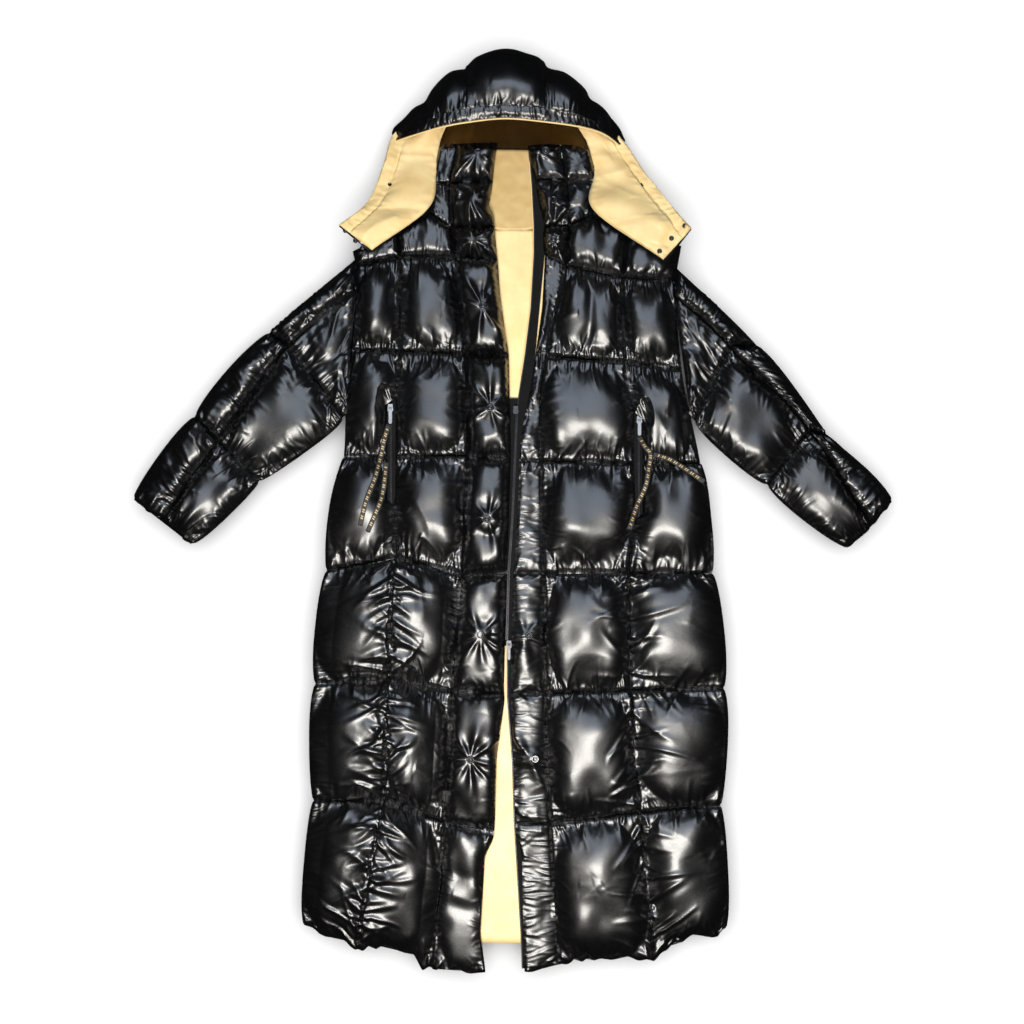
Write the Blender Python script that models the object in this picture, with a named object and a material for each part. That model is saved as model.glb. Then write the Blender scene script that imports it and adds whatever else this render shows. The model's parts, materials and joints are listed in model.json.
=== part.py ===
# A long down coat, laid flat on its back with the front up and the hood spread open.
# Millimetres in the tables, metres in the meshes. +Y runs to the hood, +Z away from the floor.
# The wearer's right side is at -X. Cloth pieces are padded walls, pinched at every stitched row.
import math

import bmesh
import bpy
import numpy as np
from mathutils import Vector
from mathutils.bvhtree import BVHTree

MM = 0.001
SEAM_GAP = 0.3            # half of the space between two neighbouring pieces, and every seat gap
SEAM_WALL = 4.0           # thickness of a padded wall where it is stitched through
FRONT_SEAM = 43.0         # height of the stitch lines of the fronts and upper sleeves
FLAP_LIFT = 47.5          # the free edge of the right placket lies over the zip
BACK_SEAM = 24.0          # height of the stitch lines of the back and under sleeves
SIDE_SEAM = 35.7          # the back's outline, where it meets the fronts
FRONT_SIDE = 40.0         # the fronts' outline, one wall higher
BACK_CEILING = 36.8       # the back is pressed flat under the lining
LINING_BED = 35.1         # stitch level from which the flat linings are set off
FRONT_LOFT = 40.0         # rise of the largest front cushions over their stitch lines
SHOULDER_LOFT = 26.0
COLLAR_LEFT_LOFT = 26.0
COLLAR_RIGHT_LOFT = 20.0
COLLAR_BACK_LOFT = 5.0
COLLAR_BACK_SINK = 11.3
COLLAR_BACK_SEAM = 29.0
BACK_LOFT = 11.0
BACK_SINK = 48.0          # more than its height, so the underside is pressed flat on the floor
HOOD_WALL = 3.0
HOOD_LOFT = 6.5
HOOD_SINK = 8.0
CROWN_LOFT = 18.0
BRIM_LOFT = 9.0
CROWN_WALL = 3.0
SHORTEST_SIDE = 20.0      # a cushion between close stitch lines still rises as if they were this far
SMALL_CELL_LOFT = 8.0     # a cushion rises this much, plus a share of its short side
LOFT_SHARE = 0.34
QUILT_POWER = 2.4
QUILT_ROOT = 0.6
ROW_STEP = 62.0           # longest facet along and across the pieces
COLUMN_STEP = 44.0
PLACKET_STEP = 20.0
SIDE_BULGE = 9.0          # the outline swells between the stitched rows
SLEEVE_BULGE = 7.0
HOOD_MIDDLE = (-6, 598, 6)
HOOD_SIDE_SHARE = 0.5
SNAP_RADIUS = 6.5
SNAP_THICKNESS = 2.6
SNAP_SEAT = 0.95          # space under a cap, over the highest cloth that it covers
TUFT_DEPTH = 0.5          # share of the loft that a snap pulls down
TUFT_RADIUS = 17.0
SNAP_SIDES = 10
SNAP_TAPER = 0.8          # the cap's face over its foot
LINING = 1.3
LINING_SIDE_GAP = 32.0    # the back lining stops short of the side seams
FLAT_LINING_WALL = 3.0
COLLAR_LINING_INSET = 3.0
HOOD_LINING_INSET = 4.5
HOOD_LINING_WALL = 4.9    # the wings bend, so their lining stands farther off
CROWN_LINING_WALL = 5.5
LINING_INSET = 1.0
BACK_COLUMN_INSET = 40.0  # the back's stitch columns lie this far outside the princess seams
TAPE = 1.2
POCKET_TAPE_WIDTH = 13.0
RIBBON_WIDTH = 8.0
RIBBON_THICKNESS = 1.0
RIBBON_LIFT = 0.7
RIBBON_REACH = 3.5
RIBBON_STEP = 7.0
CURVE_SAMPLES = 12        # points between two way points
ABOVE_ALL = 400.0

# Crossings of the stitch lines on the right front, millimetres. "fold" is the side of the collar.
RIGHT_COLUMNS = ("side", "princess", "fold", "placket", "edge")
RIGHT_FRONT = (
    ("collarTop", None, None, (-114, 586), (-88, 589), (-22, 590)),
    ("collarRow", None, None, (-125, 526), (-98, 526), (-30, 528)),
    ("neck", (-252, 416), (-184, 452), (-133, 480), (-99, 456), (-27, 456)),
    ("yoke", (-247, 396), (-179, 408), (-134, 408), (-93, 408), (-24, 402)),
    ("armhole", (-256, 259), (-180, 258), None, (-75, 254), (-5, 251)),
    ("pocketTop", (-265, 179), (-186, 179), None, (-72, 176), (-4, 173)),
    ("chest", (-269, 88), (-186, 88), None, (-72, 91), (-4, 88)),
    ("pocketEnd", (-283, 10), (-186, 10), None, (-75, 10), (-7, 8)),
    ("waist", (-296, -94), (-186, -72), None, (-80, -101), (-10, -98)),
    ("hip", (-314, -275), (-197, -269), None, (-96, -286), (-14, -290)),
    ("knee", (-317, -462), (-206, -462), None, (-109, -496), (-29, -512)),
    ("hem", (-333, -666), (-248, -702), None, (-125, -726), (-42, -736)),
)

# The left front: "edge" is the outer side of the zip tape, "fold" the side of the collar.
LEFT_COLUMNS = ("edge", "placket", "fold", "princess", "side")
LEFT_FRONT = (
    ("collarTop", (42, 589), (84, 589), (120, 584), None, None),
    ("collarRow", (50, 530), (92, 531), (133, 530), None, None),
    ("neck", (53, 454), (92, 458), (128, 477), (187, 456), (268, 424)),
    ("yoke", (53, 413), (86, 394), (134, 384), (176, 376), (258, 371)),
    ("armhole", (38, 254), (54, 251), None, (181, 240), (271, 229)),
    ("pocketTop", (28, 160), (45, 157), None, (195, 158), (283, 160)),
    ("chest", (22, 82), (45, 82), None, (195, 77), (301, 78)),
    ("pocketEnd", (18, -11), (48, -11), None, (195, -11), (310, -11)),
    ("waist", (11, -98), (51, -99), None, (186, -98), (320, -98)),
    ("hip", (10, -291), (53, -290), None, (189, -285), (338, -282)),
    ("knee", (21, -498), (61, -499), None, (203, -480), (333, -470)),
    ("hem", (34, -734), (74, -730), None, (227, -715), (342, -669)),
)
SHAPE_ROWS = ("pocketTop", "pocketEnd", "free")   # rows that give shape and carry no stitching
SHAPE_COLUMNS = ("fold", "free")
OUTLINE_ROWS = ("chest", "waist", "hip", "knee", "bicep", "elbow")   # the outline swells below these

# The back of the collar, under the collar fronts: it stands on the hood's back at the neck seam.
COLLAR_BACK_COLUMNS = ("right", "free", "left")
COLLAR_BACK = (
    ("top", (-106, 583), (0, 583), (112, 581)),
    ("collarRow", (-117, 526), (0, 526), (124, 528)),
    ("neck", (-108, 472.9, 32.5), (0, 455.2, 32.5), (108, 471, 32.5)),
)

# The back's neck seam and the middle of its hem; the lining's own neck and shoulder corners.
BACK_NECK = ((-116, 474, 34.8), (0, 455, 34.8), (116, 472, 34.8))
BACK_HEM = (0, -690)
LINING_NECK = ((-120, 447), (0, 452), (120, 447))
LINING_YOKE = ((-222, 392), (236, 368))

# Sleeves from the armhole to the cuff: upper outline, the seam along the middle, lower outline.
SLEEVE_COLUMNS = ("upper", "middle", "lower")
RIGHT_SLEEVE = (
    ("armhole", (-249.8, 404), (-250.7, 352), (-266, 168)),
    ("bicep", (-387, 286), (-357, 266), (-272, 152)),
    ("elbow", (-506, 152), (-470, 114), (-406, 51)),
    ("cuff", (-605, 19), (-558, -14), (-515, -51)),
)
LEFT_SLEEVE = (
    ("armhole", (262.3, 390), (261.8, 346), (284.2, 162)),
    ("bicep", (390, 267), (349, 264), (294, 147)),
    ("elbow", (501, 125), (474, 131), (410, 45)),
    ("cuff", (608, 16), (576, -24), (538, -56)),
)

# The hood, laid open: a floor part behind the head, a wing on each shoulder, a crown in front.
WING_COLUMNS = ("outer", "inner")
RIGHT_WING = (
    ("top", (-80, 694, 9), (-73, 698, 9)),
    ("upper", (-108, 672, 9), (-84, 676, 9)),
    ("crownSide", (-152, 626, 9), (-104, 634, 9)),
    ("corner", (-190, 604, 10), (-123, 594, 10)),
    ("channel", (-206, 552, 34), (-128, 540, 32)),
    ("neckSide", (-229, 494, 62), (-138, 483, 62)),
    ("tip", (-275, 453, 86), (-224, 411, 85)),
)
LEFT_WING = (
    ("top", (53, 702, 9), (60, 697, 9)),
    ("upper", (76, 668, 9), (106, 664, 9)),
    ("crownSide", (104, 630, 9), (145, 622, 9)),
    ("corner", (127, 594, 10), (180, 592, 10)),
    ("channel", (138, 540, 32), (213, 541, 34)),
    ("neckSide", (134, 481, 62), (250, 491, 62)),
    ("tip", (243, 395, 85), (285, 448, 86)),
)
HOOD_BACK_COLUMNS = ("right", "middle", "left")
HOOD_BACK = (
    ("top", (-73, 698, 9), (-11, 712, 9), (53, 702, 9)),
    ("upper", (-84, 676, 9), (-11, 684, 9), (76, 668, 9)),
    ("crownSide", (-104, 634, 9), (-11, 640, 9), (104, 630, 9)),
    ("corner", (-123, 594, 9), (-11, 594, 9), (127, 594, 9)),
    ("collarRow", (-125, 526, 9), (-11, 526, 9), (131, 530, 9)),
    ("neck", (-120, 459, 9), (0, 457, 9), (118, 459, 9)),
)
CROWN_PARTS = {"right": ("c0", "c1", "c2", "rightSeam"), "middle": ("rightSeam", "middle", "leftSeam"),
               "left": ("leftSeam", "c6", "c7", "c8")}
CROWN_COLUMNS = ("c0", "c1", "c2", "rightSeam", "middle", "leftSeam", "c6", "c7", "c8")
CROWN = (
    ("back", (-191, 605, 12), (-154, 628, 12), (-110, 674, 12), (-74, 700, 12), (-11, 714, 12),
     (54, 704, 12), (108, 666, 12), (147, 624, 12), (181, 593, 12)),
    ("top", (-190, 601, 22), (-152, 618, 56), (-109, 655, 82), (-73, 676, 92), (-11, 686, 96),
     (53, 679, 92), (106, 650, 82), (145, 615, 56), (180, 590, 22)),
    ("channel", (-191, 598, 26), (-155, 611, 66), (-112, 629, 92), (-73, 637, 101), (-11, 642, 104),
     (53, 638, 101), (107, 629, 92), (146, 612, 66), (181, 587, 26)),
    ("brim", (-193, 594, 28), (-158, 601, 64), (-114, 611, 88), (-73, 618, 96), (-11, 624, 99),
     (53, 619, 96), (108, 612, 88), (147, 603, 64), (181, 582, 28)),
)

# The zip: the inner side of the left tape, from the collar to the hem.
ZIP_LINE = (
    (27, 579), (32, 518), (35, 456), (35, 413), (30, 326), (21, 254), (9, 176), (5, 82),
    (1, -11), (-5, -96), (-8, -205), (-8, -296), (0, -397), (3, -494), (14, -674), (16, -730),
)
ZIP_TAPE_WIDTH = 16.5
CHAIN_TOP = 160.0
CHAIN_END = -206.0
CHAIN_WIDTH = 5.6
CHAIN_THICKNESS = 2.2
CHAIN_STATIONS = 9
TAPE_START = 182.0
TAPE_END = -214.0

RIGHT_SNAPS = ((-54, 573), (-61, 499), (-62, 434), (-46, 328), (-35, 166), (-40, -11),
               (-50, -195), (-66, -394))
LEFT_SNAPS = ((54, 577), (66, 498), (66, 434), (27, -197), (37, -394))

# Pocket ribbons: way points of each tail over the side panel, from the pull or the knot.
RIBBONS = {
    "right_long": ((-197, 140), (-204, 116), (-208, 96), (-217, 58), (-232, 18), (-242, -22)),
    "right_short": ((-201, 80), (-203, 54), (-208, 22), (-218, -4), (-230, -32)),
    "left_long": ((203, 121), (212, 105), (221, 92), (218, 66), (213, 40), (199, 8), (187, -28)),
    "left_short": ((225.8, 92), (238, 89), (256, 82), (284, 64), (307, 48)),
}

SLIDER_WIDTH = 9.0
SLIDER_LENGTH = 13.0
SLIDER_THICKNESS = 3.4
SLIDER_TAPER = 1.0        # each side narrows this much towards the mouth
SLIDER_CHAMFER = (2.0, 3.0)
EAR_WIDTH = 1.1           # the two ears that hold the pull
EAR_LENGTH = 4.2
EAR_HEIGHT = 4.4
EAR_TAPER = 1.0
EAR_SPREAD = 2.1          # from the middle to the inside of an ear
BARREL_RADIUS = 1.5
BARREL_HALF = 1.5
BARREL_SIDES = 10
PULL = (5.4, 25.0)        # width and length
MAIN_PULL = (4.6, 24.0)
PULL_THICKNESS = 1.5
PULL_NECK_HALF = 1.2
PULL_SHOULDER = 1.5
PULL_CORNER = (1.5, 2.0)
RIGHT_POCKET_SLIDER = (-194.4, 166.0)
LEFT_POCKET_SLIDER = (203.6, 147.0)
MAIN_SLIDER = (-5.0, -212.0)
TOP_SLIDER = (6.0, 163.0)

# Finishes: colour, roughness, metallic.
BLACK_SHELL = ((0.010, 0.010, 0.012), 0.25, 0.0)
TAN_LINING = ((0.80, 0.55, 0.24), 0.6, 0.0)
BLACK_TAPE = ((0.020, 0.020, 0.022), 0.7, 0.0)
RIBBON_BLACK = ((0.015, 0.014, 0.012), 0.5, 0.0)
STEEL = ((0.62, 0.62, 0.64), 0.2, 1.0)
GUNMETAL = ((0.10, 0.10, 0.11), 0.3, 1.0)

clothSurfaces = []        # vertices and faces of every piece that trim is laid on


def makeMaterial(name, finish):
    colour, roughness, metallic = finish
    material = bpy.data.materials.new(name)
    material.use_nodes = True
    shader = material.node_tree.nodes["Principled BSDF"]
    shader.inputs["Base Color"].default_value = (*colour, 1.0)
    shader.inputs["Roughness"].default_value = roughness
    shader.inputs["Metallic"].default_value = metallic
    return material


def addObject(name, vertices, faces, finish, origin=(0, 0, 0)):
    centre = np.array(origin)
    mesh = bpy.data.meshes.new(name)
    mesh.from_pydata([tuple((np.array(v) - centre) * MM) for v in vertices], [], faces)
    mesh.materials.append(makeMaterial(name + "_finish", finish))
    mesh.update()
    item = bpy.data.objects.new(name, mesh)
    item.location = Vector(centre * MM)
    bpy.context.scene.collection.objects.link(item)
    return item


def takeNet(table, columns, wanted, firstRow, lastRow, height=0.0, lifts=None,
            columnStep=COLUMN_STEP):
    """Points, row names and facet counts of one piece cut out of a table."""
    names = [row[0] for row in table]
    rows = table[names.index(firstRow):names.index(lastRow) + 1]
    lifts = lifts or {}
    points = []
    for row in rows:
        line = []
        for column in wanted:
            point = row[1 + columns.index(column)]
            level = point[2] if len(point) == 3 else lifts.get(column, height)
            line.append((point[0], point[1], level))
        points.append(line)
    rowSteps = []
    for upper, lower in zip(rows, rows[1:]):
        spans = [math.dist(a[:2], b[:2]) for a, b in zip(upper[1:], lower[1:]) if a and b]
        rowSteps.append(max(2, math.ceil(sum(spans) / len(spans) / ROW_STEP)))
    columnSteps = []
    for a, b in zip(wanted, wanted[1:]):
        a, b = 1 + columns.index(a), 1 + columns.index(b)
        spans = [math.dist(row[a][:2], row[b][:2]) for row in table if row[a] and row[b]]
        columnSteps.append(max(2, math.ceil(sum(spans) / len(spans) / columnStep)))
    return {
        "points": np.array(points, float),
        "rows": [row[0] for row in rows],
        "columns": list(wanted),
        "rowSteps": rowSteps,
        "columnSteps": columnSteps,
    }


def stitched(names, shapeNames):
    return [i for i, name in enumerate(names) if name not in shapeNames or i in (0, len(names) - 1)]


def stations(steps):
    """Positions of the facet lines, in units of table rows or columns."""
    values = [0.0]
    for index, count in enumerate(steps):
        values += [index + (k + 1) / count for k in range(count)]
    return values


def cellPosition(value, stitches, lengths):
    """The cell that a station lies in, and how far through that cell it is."""
    for k in range(len(stitches) - 1):
        if value <= stitches[k + 1]:
            start, end = lengths[stitches[k]], lengths[stitches[k + 1]]
            here = np.interp(value, range(len(lengths)), lengths)
            return k, (here - start) / (end - start)
    return len(stitches) - 2, 1.0


def cushion(t):
    return max(0.0, 1 - abs(2 * t - 1) ** QUILT_POWER) ** QUILT_ROOT


def cellLoft(points, rowSpan, columnSpan, fullLoft):
    corner = points[rowSpan[0], columnSpan[0]]
    along = np.linalg.norm(points[rowSpan[1], columnSpan[0]] - corner)
    across = np.linalg.norm(points[rowSpan[0], columnSpan[1]] - corner)
    shortSide = max(SHORTEST_SIDE, min(along, across))
    return min(fullLoft, SMALL_CELL_LOFT + LOFT_SHARE * shortSide)


def gridPoint(points, a, b):
    i = min(int(a), points.shape[0] - 2)
    j = min(int(b), points.shape[1] - 2)
    s, t = a - i, b - j
    return ((1 - s) * (1 - t) * points[i, j] + s * (1 - t) * points[i + 1, j]
            + (1 - s) * t * points[i, j + 1] + s * t * points[i + 1, j + 1])


def baseGrid(net, loft, bulges):
    """Grid on the stitch level, its normals, and the share of loft at each grid point."""
    points = net["points"]
    widths = np.linalg.norm(np.diff(points, axis=1), axis=2).mean(axis=0)
    columnSteps = net.get("columnSteps") or [max(2, math.ceil(w / COLUMN_STEP)) for w in widths]
    rowLengths = np.concatenate(([0], np.cumsum(
        np.linalg.norm(np.diff(points, axis=0), axis=2).mean(axis=1))))
    columnLengths = np.concatenate(([0], np.cumsum(widths)))
    rowStitches = stitched(net["rows"], SHAPE_ROWS)
    columnStitches = stitched(net["columns"], SHAPE_COLUMNS)
    rowValues, columnValues = stations(net["rowSteps"]), stations(columnSteps)
    grid = np.zeros((len(rowValues), len(columnValues), 3))
    rise = np.zeros(grid.shape[:2])
    rowShare = np.zeros(len(rowValues))
    for i, a in enumerate(rowValues):
        rowCell, s = cellPosition(a, rowStitches, rowLengths)
        free = net["rows"][rowStitches[rowCell]] in OUTLINE_ROWS
        rowShare[i] = cushion(s) if free else 0.0
        for j, b in enumerate(columnValues):
            columnCell, t = cellPosition(b, columnStitches, columnLengths)
            grid[i, j] = gridPoint(points, a, b)
            limit = cellLoft(points, rowStitches[rowCell:rowCell + 2],
                             columnStitches[columnCell:columnCell + 2], loft)
            rise[i, j] = cushion(s) * cushion(t) * limit
    for side, amount in bulges.items():
        inner = 1 if side == 0 else -2
        away = grid[:, side] - grid[:, inner]
        away[:, 2] = 0
        away /= np.linalg.norm(away, axis=1)[:, None]
        grid[:, side] += away * (amount * rowShare)[:, None]
    return grid, rise


def insetGrid(grid, rise, amount):
    """The border drawn in along the facets, so that the piece keeps its own surface."""
    rows = np.concatenate((grid, rise[:, :, None]), axis=2)
    for axis in (1, 0):
        lines = np.swapaxes(rows, 0, axis)
        for side, inner in ((0, 1), (-1, -2)):
            step = lines[inner] - lines[side]
            length = np.linalg.norm(step[:, :3], axis=1)[:, None]
            lines[side] += step * np.minimum(amount / length, 0.5)
    return rows[:, :, :3], rows[:, :, 3]


def outward(grid, dome):
    """The way a cushion swells: straight up, or away from the middle of the hood's dome."""
    if not dome:
        return np.broadcast_to((0.0, 0.0, 1.0), grid.shape)
    away = (grid - HOOD_MIDDLE) * (HOOD_SIDE_SHARE, 1.0, 1.0)
    return away / np.linalg.norm(away, axis=2)[:, :, None]


def closeShell(upper, lower):
    """Two grids that face each other, joined round their border into one closed body."""
    rows, columns = upper.shape[:2]
    vertices = np.concatenate((upper.reshape(-1, 3), lower.reshape(-1, 3)))
    count = rows * columns
    spin = np.cross(upper[0, 1] - upper[0, 0], upper[1, 0] - upper[0, 0])
    lift = upper[0, 0] - lower[0, 0]
    forward = float(np.dot(spin, lift)) > 0
    faces = []

    def add(a, b, c):
        faces.append((a, b, c) if forward else (a, c, b))

    for i in range(rows - 1):
        for j in range(columns - 1):
            a, b = i * columns + j, i * columns + j + 1
            c, d = a + columns, b + columns
            add(a, b, d)
            add(a, d, c)
            add(a + count, b + count + columns, b + count)
            add(a + count, c + count, d + count)
    border = list(range(columns))
    border += [i * columns + columns - 1 for i in range(1, rows)]
    border += [(rows - 1) * columns + j for j in range(columns - 2, -1, -1)]
    border += [i * columns for i in range(rows - 2, 0, -1)]
    for a, b in zip(border, border[1:] + border[:1]):
        add(a, a + count, b)
        add(b, a + count, b + count)
    return vertices, faces


def addCloth(name, net, loft, sink=0.0, wall=SEAM_WALL, bulges=None, tufts=(), ceiling=None,
             dome=False):
    """A padded wall: stitched flat at every seam and swollen between them."""
    grid, rise = insetGrid(*baseGrid(net, loft, bulges or {}), SEAM_GAP)
    for x, y in tufts:
        reach = np.hypot(grid[:, :, 0] - x, grid[:, :, 1] - y)
        rise *= 1 - TUFT_DEPTH * np.exp(-(reach / TUFT_RADIUS) ** 2)
    normals = outward(grid, dome)
    upper = grid + normals * (wall / 2 + rise)[:, :, None]
    if ceiling is not None:
        upper[1:-1, 1:-1, 2] = np.minimum(upper[1:-1, 1:-1, 2], ceiling)
    fall = rise / max(rise.max(), 1e-6)
    lower = grid - normals * (wall / 2 + sink * fall)[:, :, None]
    lower[:, :, 2] = np.maximum(lower[:, :, 2], 0.0)
    vertices, faces = closeShell(upper, lower)
    clothSurfaces.append((vertices, faces))
    addObject(name, vertices, faces, BLACK_SHELL)


def addLining(name, net, loft, hostWall, inset, side=1, sink=0.0, dome=False):
    """A thin cloth that follows the face of the padded piece it backs."""
    grid, rise = insetGrid(*baseGrid(net, loft, {}), inset)
    normals = outward(grid, dome)
    near = hostWall / 2 + 2 * SEAM_GAP
    follow = rise if side > 0 else sink * rise / max(rise.max(), 1e-6)
    upper = grid + side * normals * (near + LINING + follow)[:, :, None]
    lower = grid + side * normals * (near + follow)[:, :, None]
    vertices, faces = closeShell(upper, lower)
    clothSurfaces.append((vertices, faces))
    addObject(name, vertices, faces, TAN_LINING)


def addStrip(name, leftLine, rightLine, low, high, finish):
    """A flat band between two lines, such as a zip tape."""
    upper = np.array([[(*a, high), (*b, high)] for a, b in zip(leftLine, rightLine)], float)
    lower = upper.copy()
    lower[:, :, 2] = low
    vertices, faces = closeShell(upper, lower)
    clothSurfaces.append((vertices, faces))
    addObject(name, vertices, faces, finish)


def pocketNet(table, columns, wanted, side):
    """A side panel whose princess edge steps aside for the width of the pocket tape."""
    net = takeNet(table, columns, wanted, "yoke", "hem", FRONT_SEAM, {"side": FRONT_SIDE})
    column = wanted.index("princess")
    for row, name in enumerate(net["rows"]):
        if name in ("pocketTop", "chest", "pocketEnd"):
            net["points"][row, column, 0] += side * (POCKET_TAPE_WIDTH + 4 * SEAM_GAP)
    return net


def makeFronts():
    right, left = (RIGHT_FRONT, RIGHT_COLUMNS), (LEFT_FRONT, LEFT_COLUMNS)
    addCloth("front_side_right", pocketNet(*right, ("side", "princess"), -1), FRONT_LOFT,
             bulges={0: SIDE_BULGE})
    addCloth("front_side_left", pocketNet(*left, ("princess", "side"), 1), FRONT_LOFT,
             bulges={-1: SIDE_BULGE})
    for name, net in (
            ("right", takeNet(*right, ("princess", "placket"), "yoke", "hem", FRONT_SEAM)),
            ("left", takeNet(*left, ("placket", "princess"), "yoke", "hem", FRONT_SEAM))):
        addCloth("front_centre_" + name, net, FRONT_LOFT)
    net = takeNet(*right, ("placket", "edge"), "collarTop", "hem", FRONT_SEAM,
                  {"edge": FLAP_LIFT}, PLACKET_STEP)
    addCloth("placket_right", net, FRONT_LOFT, tufts=RIGHT_SNAPS)
    net = takeNet(*left, ("edge", "placket"), "yoke", "hem", FRONT_SEAM, None, PLACKET_STEP)
    addCloth("placket_left", net, FRONT_LOFT, tufts=LEFT_SNAPS)
    for name, table, columns, wanted in (
            ("shoulder_right", *right, ("side", "princess", "fold", "placket")),
            ("shoulder_left", *left, ("edge", "placket", "fold", "princess", "side"))):
        net = takeNet(table, columns, wanted, "neck", "yoke", FRONT_SEAM, {"side": FRONT_SIDE})
        outer = [wanted.index(column) for column in ("side", "princess", "fold")]
        net["points"][0, outer, 2] = FRONT_SIDE
        addCloth(name, net, SHOULDER_LOFT)


def makeCollar():
    addCloth("collar_right", takeNet(RIGHT_FRONT, RIGHT_COLUMNS, ("fold", "placket"), "collarTop",
                                     "neck", FRONT_SEAM), COLLAR_RIGHT_LOFT)
    addCloth("collar_left", takeNet(LEFT_FRONT, LEFT_COLUMNS, ("edge", "placket", "fold"),
                                    "collarTop", "neck", FRONT_SEAM), COLLAR_LEFT_LOFT,
             tufts=LEFT_SNAPS)
    back = takeNet(COLLAR_BACK, COLLAR_BACK_COLUMNS, COLLAR_BACK_COLUMNS, "top", "neck",
                   COLLAR_BACK_SEAM)
    addCloth("collar_back", back, COLLAR_BACK_LOFT, sink=COLLAR_BACK_SINK, ceiling=BACK_CEILING)
    flat = dict(back, points=back["points"].copy())
    flat["points"][:, :, 2] = LINING_BED
    addLining("collar_lining", flat, 0.0, FLAT_LINING_WALL, COLLAR_LINING_INSET)


def backRow(right, left):
    """One row of the back: the sides of both fronts, and three stitch columns between them."""
    rightSide, leftSide = (*right[1], SIDE_SEAM), (*left[5], SIDE_SEAM)
    if right[0] == "neck":
        inner = BACK_NECK
    else:
        rightSeam, leftSeam = right[2], left[4]
        middle = BACK_HEM if right[0] == "hem" else (0, (rightSeam[1] + leftSeam[1]) / 2)
        inner = ((rightSeam[0] + BACK_COLUMN_INSET, rightSeam[1], BACK_SEAM), (*middle, BACK_SEAM),
                 (leftSeam[0] - BACK_COLUMN_INSET, leftSeam[1], BACK_SEAM))
    return [rightSide, *inner, leftSide]


def makeBack():
    """The whole back in one net, from the neck and shoulders to the hem."""
    pairs = [pair for pair in zip(RIGHT_FRONT, LEFT_FRONT)
             if pair[0][1] is not None and pair[0][0] != "pocketTop"]
    rows = [right[0] for right, left in pairs]
    points = np.array([backRow(right, left) for right, left in pairs], float)
    lengths = np.linalg.norm(np.diff(points, axis=0), axis=2).mean(axis=1)
    net = {"points": points, "rows": rows, "columns": ["side", "right", "middle", "left", "side"],
           "rowSteps": [max(2, math.ceil(span / ROW_STEP)) for span in lengths]}
    addCloth("back", net, BACK_LOFT, sink=BACK_SINK, bulges={0: SIDE_BULGE, -1: SIDE_BULGE},
             ceiling=BACK_CEILING)
    inner = points[:, [0, 2, 4]].copy()
    inner[:, :, 2] = LINING_BED
    inner[0, :, :2] = LINING_NECK
    inner[1, [0, 2], :2] = LINING_YOKE
    inner[:, 0, 0] += LINING_SIDE_GAP
    inner[:, 2, 0] -= LINING_SIDE_GAP
    lining = {"points": inner, "rows": rows, "columns": ["side", "free", "side"],
              "rowSteps": [1] * (len(rows) - 1)}
    addLining("back_lining", lining, 0.0, FLAT_LINING_WALL, LINING_INSET)


def makeSleeves():
    frontEdges = {"upper": FRONT_SIDE, "lower": FRONT_SIDE}
    backEdges = {"upper": SIDE_SEAM, "lower": SIDE_SEAM}
    for side, table in (("right", RIGHT_SLEEVE), ("left", LEFT_SLEEVE)):
        for part, wanted, outline in (("upper", ("upper", "middle"), 0),
                                      ("lower", ("middle", "lower"), -1)):
            net = takeNet(table, SLEEVE_COLUMNS, wanted, "armhole", "cuff", FRONT_SEAM, frontEdges)
            addCloth("sleeve_%s_%s" % (part, side), net, FRONT_LOFT, bulges={outline: SLEEVE_BULGE})
        net = takeNet(table, SLEEVE_COLUMNS, SLEEVE_COLUMNS, "armhole", "cuff", BACK_SEAM, backEdges)
        addCloth("sleeve_back_" + side, net, BACK_LOFT, sink=BACK_SINK,
                 bulges={0: SLEEVE_BULGE, -1: SLEEVE_BULGE}, ceiling=BACK_CEILING)


def freeInside(names):
    """The first and last line are seams, and those between them only give shape."""
    return [names[0]] + ["free"] * (len(names) - 2) + [names[-1]]


def makeHood():
    net = takeNet(HOOD_BACK, HOOD_BACK_COLUMNS, HOOD_BACK_COLUMNS, "top", "neck")
    addCloth("hood_back", net, HOOD_LOFT, sink=HOOD_SINK, wall=HOOD_WALL)
    net = takeNet(HOOD_BACK, HOOD_BACK_COLUMNS, HOOD_BACK_COLUMNS, "upper", "corner")
    addLining("hood_lining_back", net, HOOD_LOFT, HOOD_WALL, LINING_INSET)
    for side, table in (("right", RIGHT_WING), ("left", LEFT_WING)):
        net = takeNet(table, WING_COLUMNS, WING_COLUMNS, "top", "tip")
        addCloth("hood_side_" + side, net, HOOD_LOFT, sink=HOOD_SINK, wall=HOOD_WALL)
        net = takeNet(table, WING_COLUMNS, WING_COLUMNS, "crownSide", "tip")
        addLining("hood_lining_" + side, net, HOOD_LOFT, HOOD_LINING_WALL, HOOD_LINING_INSET)
    for side, wanted in CROWN_PARTS.items():
        net = takeNet(CROWN, CROWN_COLUMNS, wanted, "back", "channel")
        net["rows"] = freeInside(net["rows"])
        net["columns"] = freeInside(net["columns"])
        addCloth("crown_" + side, net, CROWN_LOFT, wall=CROWN_WALL, dome=True)
    net = takeNet(CROWN, CROWN_COLUMNS, CROWN_COLUMNS, "channel", "brim")
    net["columns"] = freeInside(net["columns"])
    addCloth("hood_brim", net, BRIM_LOFT, wall=CROWN_WALL, dome=True)
    net = takeNet(CROWN, CROWN_COLUMNS, CROWN_COLUMNS[1:-1], "top", "brim")
    net["rowSteps"] = [1, 1]
    net["rows"] = freeInside(net["rows"])
    net["columns"] = freeInside(net["columns"])
    addLining("crown_lining", net, 0.0, CROWN_LINING_WALL, LINING_INSET, side=-1, dome=True)


def lineAt(line, y):
    ys = [p[1] for p in line][::-1]
    xs = [p[0] for p in line][::-1]
    return float(np.interp(y, ys, xs))


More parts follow.
